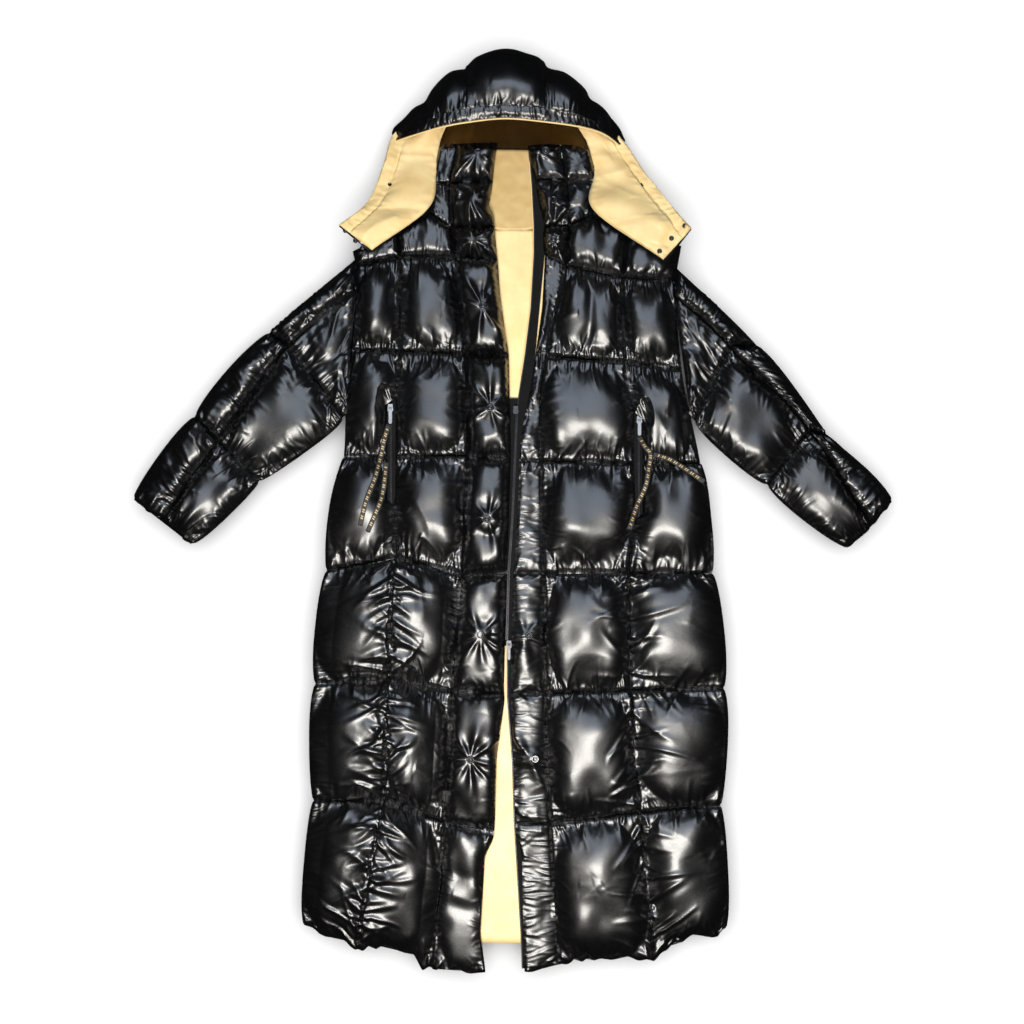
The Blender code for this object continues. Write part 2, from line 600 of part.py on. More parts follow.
def besideZip(y, offset):
    return lineAt(ZIP_LINE, y) + offset, y


def makeZips():
    low = FRONT_SEAM - SEAM_WALL / 2 + SEAM_GAP
    top = low + TAPE
    edgeColumn = [row[1] for row in LEFT_FRONT]
    heights = sorted({y for x, y in ZIP_LINE} | {y for x, y in edgeColumn[1:-1]}, reverse=True)
    outer = [(lineAt(edgeColumn, y) - 2 * SEAM_GAP, y) for y in heights]
    inner = [besideZip(y, 0.0) for y in heights]
    addStrip("zip_tape_left", inner, outer, low, top, BLACK_TAPE)
    heights = np.linspace(TAPE_START, TAPE_END, CHAIN_STATIONS)
    hidden = [besideZip(y, -2 * SEAM_GAP - ZIP_TAPE_WIDTH) for y in heights]
    edge = [besideZip(y, -2 * SEAM_GAP) for y in heights]
    addStrip("zip_tape_right", hidden, edge, low, top, BLACK_TAPE)
    heights = np.linspace(CHAIN_TOP, CHAIN_END, CHAIN_STATIONS)
    left = [besideZip(y, -SEAM_GAP - CHAIN_WIDTH / 2) for y in heights]
    right = [besideZip(y, -SEAM_GAP + CHAIN_WIDTH / 2) for y in heights]
    chainLow = top + SEAM_GAP
    addStrip("zip_chain", left, right, chainLow, chainLow + CHAIN_THICKNESS, GUNMETAL)
    for side, table, columns, sign in (("right", RIGHT_FRONT, RIGHT_COLUMNS, -1),
                                       ("left", LEFT_FRONT, LEFT_COLUMNS, 1)):
        seam = takeNet(table, columns, ("princess",), "pocketTop", "pocketEnd")["points"][:, 0]
        near = [(x + sign * 2 * SEAM_GAP, y) for x, y, z in seam]
        far = [(x + sign * POCKET_TAPE_WIDTH, y) for x, y in near]
        pair = (far, near) if sign < 0 else (near, far)
        addStrip("pocket_tape_" + side, *pair, low, top, BLACK_TAPE)


def finishMesh(mesh, name, finish, origin=(0, 0, 0)):
    bmesh.ops.recalc_face_normals(mesh, faces=mesh.faces)
    mesh.verts.index_update()
    vertices = [tuple(v.co) for v in mesh.verts]
    faces = [tuple(v.index for v in face.verts) for face in mesh.faces]
    mesh.free()
    return addObject(name, vertices, faces, finish, origin)


def extrudeProfile(profile, start, end, axis):
    """A closed outline of pairs pushed along X or Z into a prism."""
    mesh = bmesh.new()
    rings = []
    for level in (start, end):
        points = [(level, a, b) if axis == "x" else (a, b, level) for a, b in profile]
        rings.append([mesh.verts.new(point) for point in points])
    count = len(profile)
    for k in range(count):
        n = (k + 1) % count
        mesh.faces.new((rings[0][k], rings[0][n], rings[1][n], rings[1][k]))
    mesh.faces.new(rings[0][::-1])
    mesh.faces.new(rings[1])
    return mesh


def uniteWith(item, mesh, name, finish):
    """Joins a second closed mesh to an object by a hidden helper."""
    helper = finishMesh(mesh, name, finish)
    helper.hide_render = True
    helper.display_type = "WIRE"
    join = item.modifiers.new(name, "BOOLEAN")
    join.operation = "UNION"
    join.solver = "EXACT"
    join.object = helper


def makeSliderBody(name, place, seat):
    x, y = place
    half, front, back = SLIDER_WIDTH / 2, y - SLIDER_LENGTH / 2, y + SLIDER_LENGTH / 2
    cutX, cutY = SLIDER_CHAMFER
    outline = [(x - half, front + cutY), (x - half + cutX, front), (x + half - cutX, front),
               (x + half, front + cutY), (x + half - SLIDER_TAPER, back),
               (x - half + SLIDER_TAPER, back)]
    body = extrudeProfile(outline, seat, seat + SLIDER_THICKNESS, "z")
    item = finishMesh(body, name, GUNMETAL, (x, y, seat))
    foot, tip = seat + SLIDER_THICKNESS / 2, seat + SLIDER_THICKNESS + EAR_HEIGHT
    earHalf = EAR_LENGTH / 2
    profile = [(y - earHalf, foot), (y + earHalf, foot), (y + earHalf - EAR_TAPER, tip),
               (y - earHalf + EAR_TAPER, tip)]
    for side in (-1, 1):
        ends = sorted((x + side * EAR_SPREAD, x + side * (EAR_SPREAD + EAR_WIDTH)))
        ear = extrudeProfile(profile, *ends, "x")
        uniteWith(item, ear, "%s_ear_%d" % (name, side), GUNMETAL)


def makePull(name, place, seat, size):
    """A tab with a round barrel that turns between the slider's ears."""
    x, y = place
    half, tip = size[0] / 2, y - size[1]
    axisHeight = seat + SLIDER_THICKNESS + 2 * SEAM_GAP + BARREL_RADIUS
    turns = [2 * math.pi * k / BARREL_SIDES for k in range(BARREL_SIDES)]
    ring = [(y + BARREL_RADIUS * math.cos(turn), axisHeight + BARREL_RADIUS * math.sin(turn))
            for turn in turns]
    barrel = extrudeProfile(ring, x - BARREL_HALF, x + BARREL_HALF, "x")
    item = finishMesh(barrel, name, STEEL, (x, y, axisHeight))
    neckEnd = y - EAR_LENGTH / 2 - EAR_TAPER
    cutX, cutY = PULL_CORNER
    rightHalf = [(PULL_NECK_HALF, y), (PULL_NECK_HALF, neckEnd), (half, neckEnd - PULL_SHOULDER),
                 (half, tip + cutY), (half - cutX, tip)]
    outline = [(x - a, b) for a, b in rightHalf] + [(x + a, b) for a, b in rightHalf[::-1]]
    plate = extrudeProfile(outline, axisHeight - PULL_THICKNESS / 2,
                           axisHeight + PULL_THICKNESS / 2, "z")
    uniteWith(item, plate, name + "_plate", STEEL)


def makeHardware():
    tapeTop = FRONT_SEAM - SEAM_WALL / 2 + SEAM_GAP + TAPE
    pocketSeat = tapeTop + SEAM_GAP
    chainSeat = pocketSeat + CHAIN_THICKNESS + SEAM_GAP
    for side, place in (("right", RIGHT_POCKET_SLIDER), ("left", LEFT_POCKET_SLIDER)):
        makeSliderBody("pocket_slider_" + side, place, pocketSeat)
        makePull("pocket_pull_" + side, place, pocketSeat, PULL)
    makeSliderBody("zip_slider", MAIN_SLIDER, chainSeat)
    makePull("zip_pull", MAIN_SLIDER, chainSeat, MAIN_PULL)
    makeSliderBody("zip_slider_top", TOP_SLIDER, chainSeat)


def clothTree():
    vertices, faces = [], []
    for points, triangles in clothSurfaces:
        start = len(vertices)
        vertices += [Vector(p) for p in points]
        faces += [tuple(start + k for k in face) for face in triangles]
    return BVHTree.FromPolygons(vertices, faces)


def heightAt(tree, x, y):
    """Height of the highest cloth over a place, or the floor's."""
    hit = tree.ray_cast(Vector((x, y, ABOVE_ALL)), Vector((0, 0, -1)))[0]
    return hit.z if hit else 0.0


def makeSnaps(tree):
    turns = [2 * math.pi * k / SNAP_SIDES for k in range(SNAP_SIDES)]
    ring = [(SNAP_RADIUS * math.cos(turn), SNAP_RADIUS * math.sin(turn)) for turn in turns]
    for side, places in (("right", RIGHT_SNAPS), ("left", LEFT_SNAPS)):
        for number, (x, y) in enumerate(places, 1):
            covered = [(x + a * share, y + b * share) for a, b in ring for share in (0.0, 0.5, 1.0)]
            seat = max(heightAt(tree, *place) for place in covered) + SNAP_SEAT
            cap = extrudeProfile([(x + a, y + b) for a, b in ring], seat, seat + SNAP_THICKNESS, "z")
            for vert in list(cap.verts)[SNAP_SIDES:]:
                vert.co.x = x + (vert.co.x - x) * SNAP_TAPER
                vert.co.y = y + (vert.co.y - y) * SNAP_TAPER
            finishMesh(cap, "snap_%s_%d" % (side, number), GUNMETAL, (x, y, seat))


def smoothRoute(points, spacing):
    """Even stations on a smooth curve through the way points."""
    pts = np.array(points, float)
    dense = []
    for i in range(len(pts) - 1):
        before, after = pts[max(i - 1, 0)], pts[min(i + 2, len(pts) - 1)]
        for t in np.linspace(0, 1, CURVE_SAMPLES, endpoint=False):
            a, b = pts[i], pts[i + 1]
            dense.append(0.5 * (2 * a + (b - before) * t + (2 * before - 5 * a + 4 * b - after) * t ** 2
                                + (3 * a - before - 3 * b + after) * t ** 3))
    dense = np.array(dense + [pts[-1]])
    lengths = np.concatenate(([0], np.cumsum(np.linalg.norm(np.diff(dense, axis=0), axis=1))))
    count = max(4, round(lengths[-1] / spacing))
    where = np.linspace(0, lengths[-1], count + 1)
    return np.stack([np.interp(where, lengths, dense[:, k]) for k in range(2)], axis=1)


def makeRibbons(tree):
    """Flat ribbons that rest on the highest cloth within a few millimetres of each edge."""
    for name, points in RIBBONS.items():
        route = smoothRoute(points, RIBBON_STEP)
        heading = np.gradient(route, axis=0)
        heading /= np.linalg.norm(heading, axis=1)[:, None]
        aside = np.stack((-heading[:, 1], heading[:, 0]), axis=1) * RIBBON_WIDTH / 2
        lower = np.zeros((len(route), 2, 3))
        for i, place in enumerate(route):
            ends = (place + aside[i], place - aside[i])
            for j, end in enumerate(ends):
                near = [heightAt(tree, *(end + (x, y))) for x in (-RIBBON_REACH, 0, RIBBON_REACH)
                        for y in (-RIBBON_REACH, 0, RIBBON_REACH)]
                lower[i, j] = (*end, max(near) + RIBBON_LIFT)
        upper = lower + (0, 0, RIBBON_THICKNESS)
        vertices, faces = closeShell(upper, lower)
        addObject("ribbon_" + name, vertices, faces, RIBBON_BLACK)


for item in list(bpy.data.objects):
    bpy.data.objects.remove(item)
makeFronts()
makeCollar()
makeBack()
makeSleeves()
makeHood()
makeZips()
makeHardware()
surface = clothTree()
makeSnaps(surface)
makeRibbons(surface)
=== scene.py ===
# A long down coat laid flat on its back with the hood spread: padding, lining, trim and finishes.
# Tables are in millimetres and meshes in metres. +Y runs to the hood, +Z away from the floor.
# The wearer's right side is at -X. Padded walls are blown up by Cloth on flat patterns, then laid
# on the stitch lines.
import json
import math

import bmesh
import bpy
import numpy as np
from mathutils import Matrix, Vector
from mathutils.bvhtree import BVHTree

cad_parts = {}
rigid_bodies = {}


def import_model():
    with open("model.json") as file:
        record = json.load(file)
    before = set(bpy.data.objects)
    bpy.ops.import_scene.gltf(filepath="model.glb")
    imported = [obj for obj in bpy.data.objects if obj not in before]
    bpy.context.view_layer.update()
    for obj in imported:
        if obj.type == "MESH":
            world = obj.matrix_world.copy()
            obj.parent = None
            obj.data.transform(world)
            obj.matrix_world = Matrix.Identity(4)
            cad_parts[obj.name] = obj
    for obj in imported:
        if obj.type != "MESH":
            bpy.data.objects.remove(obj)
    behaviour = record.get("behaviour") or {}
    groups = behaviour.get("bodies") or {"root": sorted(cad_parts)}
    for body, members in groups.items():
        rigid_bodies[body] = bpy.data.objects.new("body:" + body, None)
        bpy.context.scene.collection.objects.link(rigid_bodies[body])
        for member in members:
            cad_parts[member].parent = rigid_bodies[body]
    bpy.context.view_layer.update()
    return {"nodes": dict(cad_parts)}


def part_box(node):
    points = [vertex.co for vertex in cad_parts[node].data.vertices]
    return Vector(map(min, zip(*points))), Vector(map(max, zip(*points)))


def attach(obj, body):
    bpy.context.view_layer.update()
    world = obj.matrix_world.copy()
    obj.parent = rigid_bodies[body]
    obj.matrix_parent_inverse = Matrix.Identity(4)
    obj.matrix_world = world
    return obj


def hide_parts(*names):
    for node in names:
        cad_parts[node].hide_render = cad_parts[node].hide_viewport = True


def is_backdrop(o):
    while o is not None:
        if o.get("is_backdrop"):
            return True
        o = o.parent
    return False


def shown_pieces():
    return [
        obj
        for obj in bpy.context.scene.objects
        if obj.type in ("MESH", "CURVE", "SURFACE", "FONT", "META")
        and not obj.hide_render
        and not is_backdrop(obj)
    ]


for starter in list(bpy.data.objects):
    bpy.data.objects.remove(starter)
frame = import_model()
scene = bpy.context.scene
mm = 0.001
norm = np.linalg.norm
print("frame loaded:", len(frame["nodes"]), "nodes")

# camera over the coat, one picture width is 1638.4 mm at the height of the cloth
cameraSettings = {"height": 5.0, "clothHeight": 0.040, "sensor": 36.0, "pictureWidth": 1.6384}
cameraData = bpy.data.cameras.new("camera")
cameraData.sensor_width = cameraSettings["sensor"]
cameraData.lens = (cameraSettings["sensor"] * (cameraSettings["height"] - cameraSettings["clothHeight"])
                   / cameraSettings["pictureWidth"])
camera = bpy.data.objects.new("camera", cameraData)
camera.location = (0.0, 0.0, cameraSettings["height"])
scene.collection.objects.link(camera)
scene.camera = camera


# shader groups that the cloths and metals share
def newGroup(name, inputs, outputs):
    group = bpy.data.node_groups.new(name, "ShaderNodeTree")
    for label, value in inputs:
        socket = group.interface.new_socket(label, in_out="INPUT", socket_type="NodeSocketFloat")
        socket.default_value = value
    for label, kind in outputs:
        group.interface.new_socket(label, in_out="OUTPUT", socket_type=kind)
    return group, group.nodes.new("NodeGroupInput"), group.nodes.new("NodeGroupOutput")


def mathNode(tree, operation, a, b=None, clamp=False):
    node = tree.nodes.new("ShaderNodeMath")
    node.operation = operation
    node.use_clamp = clamp
    for socket, value in zip(node.inputs, (a, b)):
        if value is None:
            continue
        if isinstance(value, (int, float)):
            socket.default_value = value
        else:
            tree.links.new(value, socket)
    return node.outputs[0]


def mapRange(tree, value, low, high, toLow, toHigh):
    node = tree.nodes.new("ShaderNodeMapRange")
    tree.links.new(value, node.inputs["Value"])
    for label, number in (("From Min", low), ("From Max", high), ("To Min", toLow), ("To Max", toHigh)):
        if isinstance(number, (int, float)):
            node.inputs[label].default_value = number
        else:
            tree.links.new(number, node.inputs[label])
    return node.outputs["Result"]


def noiseNode(tree, scale, detail=2.0, roughness=0.5):
    place = tree.nodes.new("ShaderNodeTexCoord")
    node = tree.nodes.new("ShaderNodeTexNoise")
    if isinstance(scale, (int, float)):
        node.inputs["Scale"].default_value = scale
    else:
        tree.links.new(scale, node.inputs["Scale"])
    node.inputs["Detail"].default_value = detail
    node.inputs["Roughness"].default_value = roughness
    tree.links.new(place.outputs["Object"], node.inputs["Vector"])
    return node.outputs["Fac"]


def makeWeaveGroup():
    # two crossed waves for the threads, and soft crinkles on top
    group, given, result = newGroup(
        "wovenCloth", [("Threads", 1800.0), ("Thread depth", 0.2), ("Crinkle scale", 90.0),
                       ("Crinkle depth", 0.8)],
        [("Height", "NodeSocketFloat"), ("Mottle", "NodeSocketFloat"), ("Slub", "NodeSocketFloat")])
    place = group.nodes.new("ShaderNodeTexCoord")
    waves = []
    for direction in ("X", "Y"):
        wave = group.nodes.new("ShaderNodeTexWave")
        wave.bands_direction = direction
        wave.inputs["Distortion"].default_value = 0.4
        wave.inputs["Detail"].default_value = 1.0
        group.links.new(place.outputs["Object"], wave.inputs["Vector"])
        group.links.new(given.outputs["Threads"], wave.inputs["Scale"])
        waves.append(wave.outputs["Fac"])
    threads = mathNode(group, "MULTIPLY", mathNode(group, "MAXIMUM", *waves), given.outputs["Thread depth"])
    crinkle = noiseNode(group, given.outputs["Crinkle scale"], 3.0, 0.55)
    folds = mathNode(group, "MULTIPLY", crinkle, given.outputs["Crinkle depth"])
    group.links.new(mathNode(group, "ADD", threads, folds), result.inputs["Height"])
    group.links.new(noiseNode(group, 26.0, 3.0, 0.6), result.inputs["Mottle"])
    group.links.new(noiseNode(group, 420.0, 2.0, 0.5), result.inputs["Slub"])
    return group


def makeWearGroup():
    # fine scratches and handling marks on metal
    group, given, result = newGroup("handledMetal", [("Scratch scale", 900.0), ("Rough low", 0.15),
                                                     ("Rough high", 0.35)],
                                    [("Roughness", "NodeSocketFloat"), ("Height", "NodeSocketFloat")])
    marks = noiseNode(group, given.outputs["Scratch scale"], 4.0, 0.7)
    smudge = noiseNode(group, 140.0, 2.0, 0.5)
    both = mathNode(group, "MULTIPLY", marks, smudge)
    rough = mapRange(group, both, 0.1, 0.45, given.outputs["Rough low"], given.outputs["Rough high"])
    group.links.new(rough, result.inputs["Roughness"])
    group.links.new(marks, result.inputs["Height"])
    return group


weaveGroup = makeWeaveGroup()
wearGroup = makeWearGroup()


def blendColours(tree, factor, low, high):
    node = tree.nodes.new("ShaderNodeMix")
    node.data_type = "RGBA"
    node.inputs[6].default_value = (*low, 1.0)
    node.inputs[7].default_value = (*high, 1.0)
    tree.links.new(factor, node.inputs[0])
    return node.outputs[2]


def bumpNode(tree, height, strength, distance):
    node = tree.nodes.new("ShaderNodeBump")
    node.inputs["Strength"].default_value = strength
    node.inputs["Distance"].default_value = distance
    tree.links.new(height, node.inputs["Height"])
    return node.outputs["Normal"]


def newMaterial(name):
    material = bpy.data.materials.new(name)
    material.use_nodes = True
    return material, material.node_tree, material.node_tree.nodes["Principled BSDF"]


def makeCloth(name, look):
    material, tree, shader = newMaterial(name)
    weave = tree.nodes.new("ShaderNodeGroup")
    weave.node_tree = weaveGroup
    for label, key in (("Threads", "threads"), ("Thread depth", "threadDepth"),
                       ("Crinkle scale", "crinkleScale"), ("Crinkle depth", "crinkleDepth")):
        weave.inputs[label].default_value = look[key]
    tone = mapRange(tree, weave.outputs["Mottle"], 0.3, 0.7, 0.0, 1.0)
    tree.links.new(blendColours(tree, tone, *look["colours"]), shader.inputs["Base Color"])
    rough = mapRange(tree, weave.outputs["Slub"], 0.3, 0.7, *look["roughness"])
    tree.links.new(rough, shader.inputs["Roughness"])
    tree.links.new(bumpNode(tree, weave.outputs["Height"], look["bump"], look["bumpDistance"] * mm),
                   shader.inputs["Normal"])
    for label, value in look["sockets"].items():
        shader.inputs[label].default_value = value
    return material


def makeMetal(name, look):
    material, tree, shader = newMaterial(name)
    shader.inputs["Metallic"].default_value = 1.0
    wear = tree.nodes.new("ShaderNodeGroup")
    wear.node_tree = wearGroup
    wear.inputs["Rough low"].default_value, wear.inputs["Rough high"].default_value = look["roughness"]
    tone = noiseNode(tree, 60.0, 2.0)
    tree.links.new(blendColours(tree, tone, *look["colours"]), shader.inputs["Base Color"])
    tree.links.new(wear.outputs["Roughness"], shader.inputs["Roughness"])
    tree.links.new(bumpNode(tree, wear.outputs["Height"], 0.15, 0.05 * mm), shader.inputs["Normal"])
    return material


shellLook = {"colours": ((0.0007, 0.0007, 0.0009), (0.0014, 0.0014, 0.0017)), "roughness": (0.31, 0.38),
             "threads": 1800.0, "threadDepth": 0.015, "crinkleScale": 105.0, "crinkleDepth": 1.0,
             "bump": 0.15, "bumpDistance": 1.0,
             "sockets": {"Specular IOR Level": 0.62, "Coat Weight": 0.3, "Coat Roughness": 0.2}}
liningLook = {"colours": ((0.84, 0.58, 0.24), (0.92, 0.70, 0.33)), "roughness": (0.42, 0.55),
              "threads": 1400.0, "threadDepth": 0.06, "crinkleScale": 70.0, "crinkleDepth": 1.0,
              "bump": 0.12, "bumpDistance": 1.2,
              "sockets": {"Sheen Weight": 0.25, "Sheen Roughness": 0.4, "Specular IOR Level": 0.5}}
tapeLook = {"colours": ((0.003, 0.003, 0.003), (0.006, 0.006, 0.006)), "roughness": (0.75, 0.85),
            "threads": 700.0, "threadDepth": 1.0, "crinkleScale": 60.0, "crinkleDepth": 0.2,
            "bump": 0.6, "bumpDistance": 0.3, "sockets": {"Specular IOR Level": 0.2}}
ribbonLook = {"colours": ((0.012, 0.011, 0.010), (0.020, 0.018, 0.015)), "roughness": (0.38, 0.5),
              "threads": 900.0, "threadDepth": 0.8, "crinkleScale": 60.0, "crinkleDepth": 0.3,
              "bump": 0.5, "bumpDistance": 0.25, "sockets": {"Sheen Weight": 0.15}}
threadLook = {"colours": ((0.004, 0.004, 0.004), (0.008, 0.008, 0.008)), "roughness": (0.6, 0.72),
              "threads": 2500.0, "threadDepth": 1.0, "crinkleScale": 200.0, "crinkleDepth": 0.2,
              "bump": 0.5, "bumpDistance": 0.2, "sockets": {"Specular IOR Level": 0.2}}
foilLook = {"colours": ((0.42, 0.28, 0.09), (0.58, 0.41, 0.16)), "roughness": (0.3, 0.45),
            "threads": 900.0, "threadDepth": 0.8, "crinkleScale": 60.0, "crinkleDepth": 0.2,
            "bump": 0.4, "bumpDistance": 0.15, "sockets": {"Specular IOR Level": 0.6}}
shellBlack = makeCloth("blackDownproofNylon", shellLook)
liningTan = makeCloth("tanLining", liningLook)
tapeBlack = makeCloth("wovenZipTape", tapeLook)
ribbonBlack = makeCloth("pullRibbon", ribbonLook)
threadGrey = makeCloth("seamThread", threadLook)
foilGold = makeCloth("goldPrint", foilLook)
steelBright = makeMetal("polishedSteel", {"colours": ((0.15, 0.15, 0.155), (0.24, 0.24, 0.245)),
                                          "roughness": (0.24, 0.38)})
steelDark = makeMetal("gunmetal", {"colours": ((0.025, 0.025, 0.028), (0.06, 0.06, 0.063)),
                                   "roughness": (0.25, 0.42)})
print("finishes made")


# stitch lines: each row has a name and a place for every column
rightColumns = ("side", "princess", "fold", "placket", "edge")
rightFront = (
    ("collarTop", None, None, (-114, 586), (-88, 589), (-22, 590)),
    ("collarRow", None, None, (-125, 526), (-98, 526), (-30, 528)),
    ("neck", (-252, 416), (-184, 452), (-133, 480), (-99, 456), (-27, 456)),
    ("yoke", (-247, 396), (-179, 408), (-134, 408), (-93, 408), (-24, 402)),
    ("armhole", (-256, 259), (-180, 258), None, (-75, 254), (-5, 251)),
    ("pocketTop", (-265, 179), (-186, 179), None, (-72, 176), (-4, 173)),
    ("chest", (-269, 88), (-186, 88), None, (-72, 91), (-4, 88)),
    ("pocketEnd", (-283, 10), (-186, 10), None, (-75, 10), (-7, 8)),
    ("waist", (-296, -94), (-186, -72), None, (-80, -101), (-10, -98)),
    ("hip", (-314, -275), (-197, -269), None, (-96, -286), (-14, -290)),
    ("knee", (-317, -462), (-206, -462), None, (-109, -496), (-29, -512)),
    ("hem", (-333, -666), (-248, -702), None, (-125, -726), (-42, -736)),
)
leftColumns = ("edge", "placket", "fold", "princess", "side")
leftFront = (
    ("collarTop", (42, 589), (84, 589), (120, 584), None, None),
    ("collarRow", (50, 530), (92, 531), (133, 530), None, None),
    ("neck", (53, 454), (92, 458), (128, 477), (187, 456), (268, 424)),
    ("yoke", (53, 413), (86, 394), (134, 384), (176, 376), (258, 371)),
    ("armhole", (38, 254), (54, 251), None, (181, 240), (271, 229)),
    ("pocketTop", (28, 160), (45, 157), None, (195, 158), (283, 160)),
    ("chest", (22, 82), (45, 82), None, (195, 77), (301, 78)),
    ("pocketEnd", (18, -11), (48, -11), None, (195, -11), (310, -11)),
    ("waist", (11, -98), (51, -99), None, (186, -98), (320, -98)),
    ("hip", (10, -291), (53, -290), None, (189, -285), (338, -282)),
    ("knee", (21, -498), (61, -499), None, (203, -480), (333, -470)),
    ("hem", (34, -734), (74, -730), None, (227, -715), (342, -669)),
)
collarBackColumns = ("right", "free", "left")
collarBack = (
    ("top", (-106, 583), (0, 583), (112, 581)),
    ("collarRow", (-117, 526), (0, 526), (124, 528)),
    ("neck", (-108, 472.9, 32.5), (0, 455.2, 32.5), (108, 471, 32.5)),
)
backNeck = ((-116, 474, 34.8), (0, 455, 34.8), (116, 472, 34.8))
backHem = (0, -690)
liningNeck = ((-120, 447), (0, 452), (120, 447))
liningYoke = ((-222, 392), (236, 368))
sleeveColumns = ("upper", "middle", "lower")
rightSleeve = (
    ("armhole", (-249.8, 404), (-250.7, 352), (-266, 168)),
    ("bicep", (-387, 286), (-357, 266), (-272, 152)),
    ("elbow", (-506, 152), (-470, 114), (-406, 51)),
    ("cuff", (-605, 19), (-558, -14), (-515, -51)),
)
leftSleeve = (
    ("armhole", (262.3, 390), (261.8, 346), (284.2, 162)),
    ("bicep", (390, 267), (349, 264), (294, 147)),
    ("elbow", (501, 125), (474, 131), (410, 45)),
    ("cuff", (608, 16), (576, -24), (538, -56)),
)
wingColumns = ("outer", "inner")
rightWing = (
    ("top", (-80, 694, 9), (-73, 698, 9)),
    ("upper", (-108, 672, 9), (-84, 676, 9)),
    ("crownSide", (-152, 626, 9), (-104, 634, 9)),
    ("corner", (-190, 604, 10), (-123, 594, 10)),
    ("channel", (-206, 552, 34), (-128, 540, 32)),
    ("neckSide", (-229, 494, 62), (-138, 483, 62)),
    ("tip", (-275, 453, 86), (-224, 411, 85)),
)
leftWing = (
    ("top", (53, 702, 9), (60, 697, 9)),
    ("upper", (76, 668, 9), (106, 664, 9)),
    ("crownSide", (104, 630, 9), (145, 622, 9)),
    ("corner", (127, 594, 10), (180, 592, 10)),
    ("channel", (138, 540, 32), (213, 541, 34)),
    ("neckSide", (134, 481, 62), (250, 491, 62)),
    ("tip", (243, 395, 85), (285, 448, 86)),
)
hoodBackColumns = ("right", "middle", "left")
hoodBack = (
    ("top", (-73, 698, 9), (-11, 712, 9), (53, 702, 9)),
    ("upper", (-84, 676, 9), (-11, 684, 9), (76, 668, 9)),
    ("crownSide", (-104, 634, 9), (-11, 640, 9), (104, 630, 9)),
    ("corner", (-123, 594, 9), (-11, 594, 9), (127, 594, 9)),
    ("collarRow", (-125, 526, 9), (-11, 526, 9), (131, 530, 9)),
    ("neck", (-120, 459, 9), (0, 457, 9), (118, 459, 9)),
)
crownColumns = ("c0", "c1", "c2", "rightSeam", "middle", "leftSeam", "c6", "c7", "c8")
crownParts = {"right": ("c0", "c1", "c2", "rightSeam"), "middle": ("rightSeam", "middle", "leftSeam"),
              "left": ("leftSeam", "c6", "c7", "c8")}
crown = (
    ("back", (-191, 605, 12), (-154, 628, 12), (-110, 674, 12), (-74, 700, 12), (-11, 714, 12),
     (54, 704, 12), (108, 666, 12), (147, 624, 12), (181, 593, 12)),
    ("wall", (-192, 607, 17), (-155, 632, 34), (-112, 680, 48), (-74, 708, 54), (-11, 724, 56),
     (54, 712, 54), (110, 673, 48), (148, 630, 34), (182, 596, 17)),
    ("top", (-190, 601, 22), (-152, 618, 56), (-109, 655, 82), (-73, 676, 92), (-11, 686, 96),
     (53, 679, 92), (106, 650, 82), (145, 615, 56), (180, 590, 22)),
    ("channel", (-191, 598, 26), (-155, 611, 66), (-112, 629, 92), (-73, 637, 101), (-11, 642, 104),
     (53, 638, 101), (107, 629, 92), (146, 612, 66), (181, 587, 26)),
    ("brim", (-193, 594, 28), (-158, 601, 64), (-114, 611, 88), (-73, 618, 96), (-11, 624, 99),
     (53, 619, 96), (108, 612, 88), (147, 603, 64), (181, 582, 28)),
)
zipLine = (
    (27, 579), (32, 518), (35, 456), (35, 413), (30, 326), (21, 254), (9, 176), (5, 82),
    (1, -11), (-5, -96), (-8, -205), (-8, -296), (0, -397), (3, -494), (14, -674), (16, -730),
)
rightSnaps = ((-54, 573), (-61, 499), (-62, 434), (-46, 328), (-35, 166), (-40, -11), (-50, -195),
              (-66, -394))
leftSnaps = ((54, 577), (66, 498), (66, 434), (27, -197), (37, -394))
shapeRows = ("pocketTop", "pocketEnd", "free")    # these give shape and carry no stitching
shapeColumns = ("fold", "free")
swellRows = ("chest", "waist", "hip", "knee", "bicep", "elbow")    # the outline swells below these
frontLevel, flapLevel, sideLevel = 43.0, 47.5, 40.0
backLevel, backSideLevel, liningLevel = 24.0, 35.7, 37.2
seamGap = 0.3    # between two pieces that meet at a seam


def takeRows(table, columns, wanted, firstRow, lastRow, height=0.0, levels=None):
    names = [row[0] for row in table]
    rows = table[names.index(firstRow):names.index(lastRow) + 1]
    levels = levels or {}
    points = []
    for row in rows:
        line = []
        for column in wanted:
            point = row[1 + columns.index(column)]
            level = point[2] if len(point) == 3 else levels.get(column, height)
            line.append((point[0], point[1], level))
        points.append(line)
    return {"points": np.array(points, float), "rows": [row[0] for row in rows],
            "columns": list(wanted)}


# cloth patterns, blown up flat
clothSettings = {"frames": 30, "quality": 6, "mass": 0.15, "tension": 15.0, "shear": 5.0,
                 "damping": 5.0, "bendDamping": 0.5, "air": 1.0, "seamTension": 45.0}
drapeSettings = {"calm": 16, "calmLeast": 0.12, "calmShare": 0.55, "edge": 6.0, "usual": 95, "most": 4.0,
                 "spot": 5.0, "loose": 10.0, "tentReach": 14.0, "tuftReach": 105.0, "tuftEdge": 8.0}
usualRecipe = {"pressure": 8.0, "growth": 0.10, "bending": 0.4, "sink": 0.0, "gather": 0.8,
               "gatherReach": 18.0, "pucker": 0.5, "tuftRadius": 4.5, "seamGrowth": 0.0,
               "calmReach": 16.0, "least": 0.0, "rise": 0.0, "bias": 0.0, "hollow": -9.0,
               "lumps": ((24.0, 0.7), (50.0, 1.0)), "creased": (), "folds": None}
patterns = []


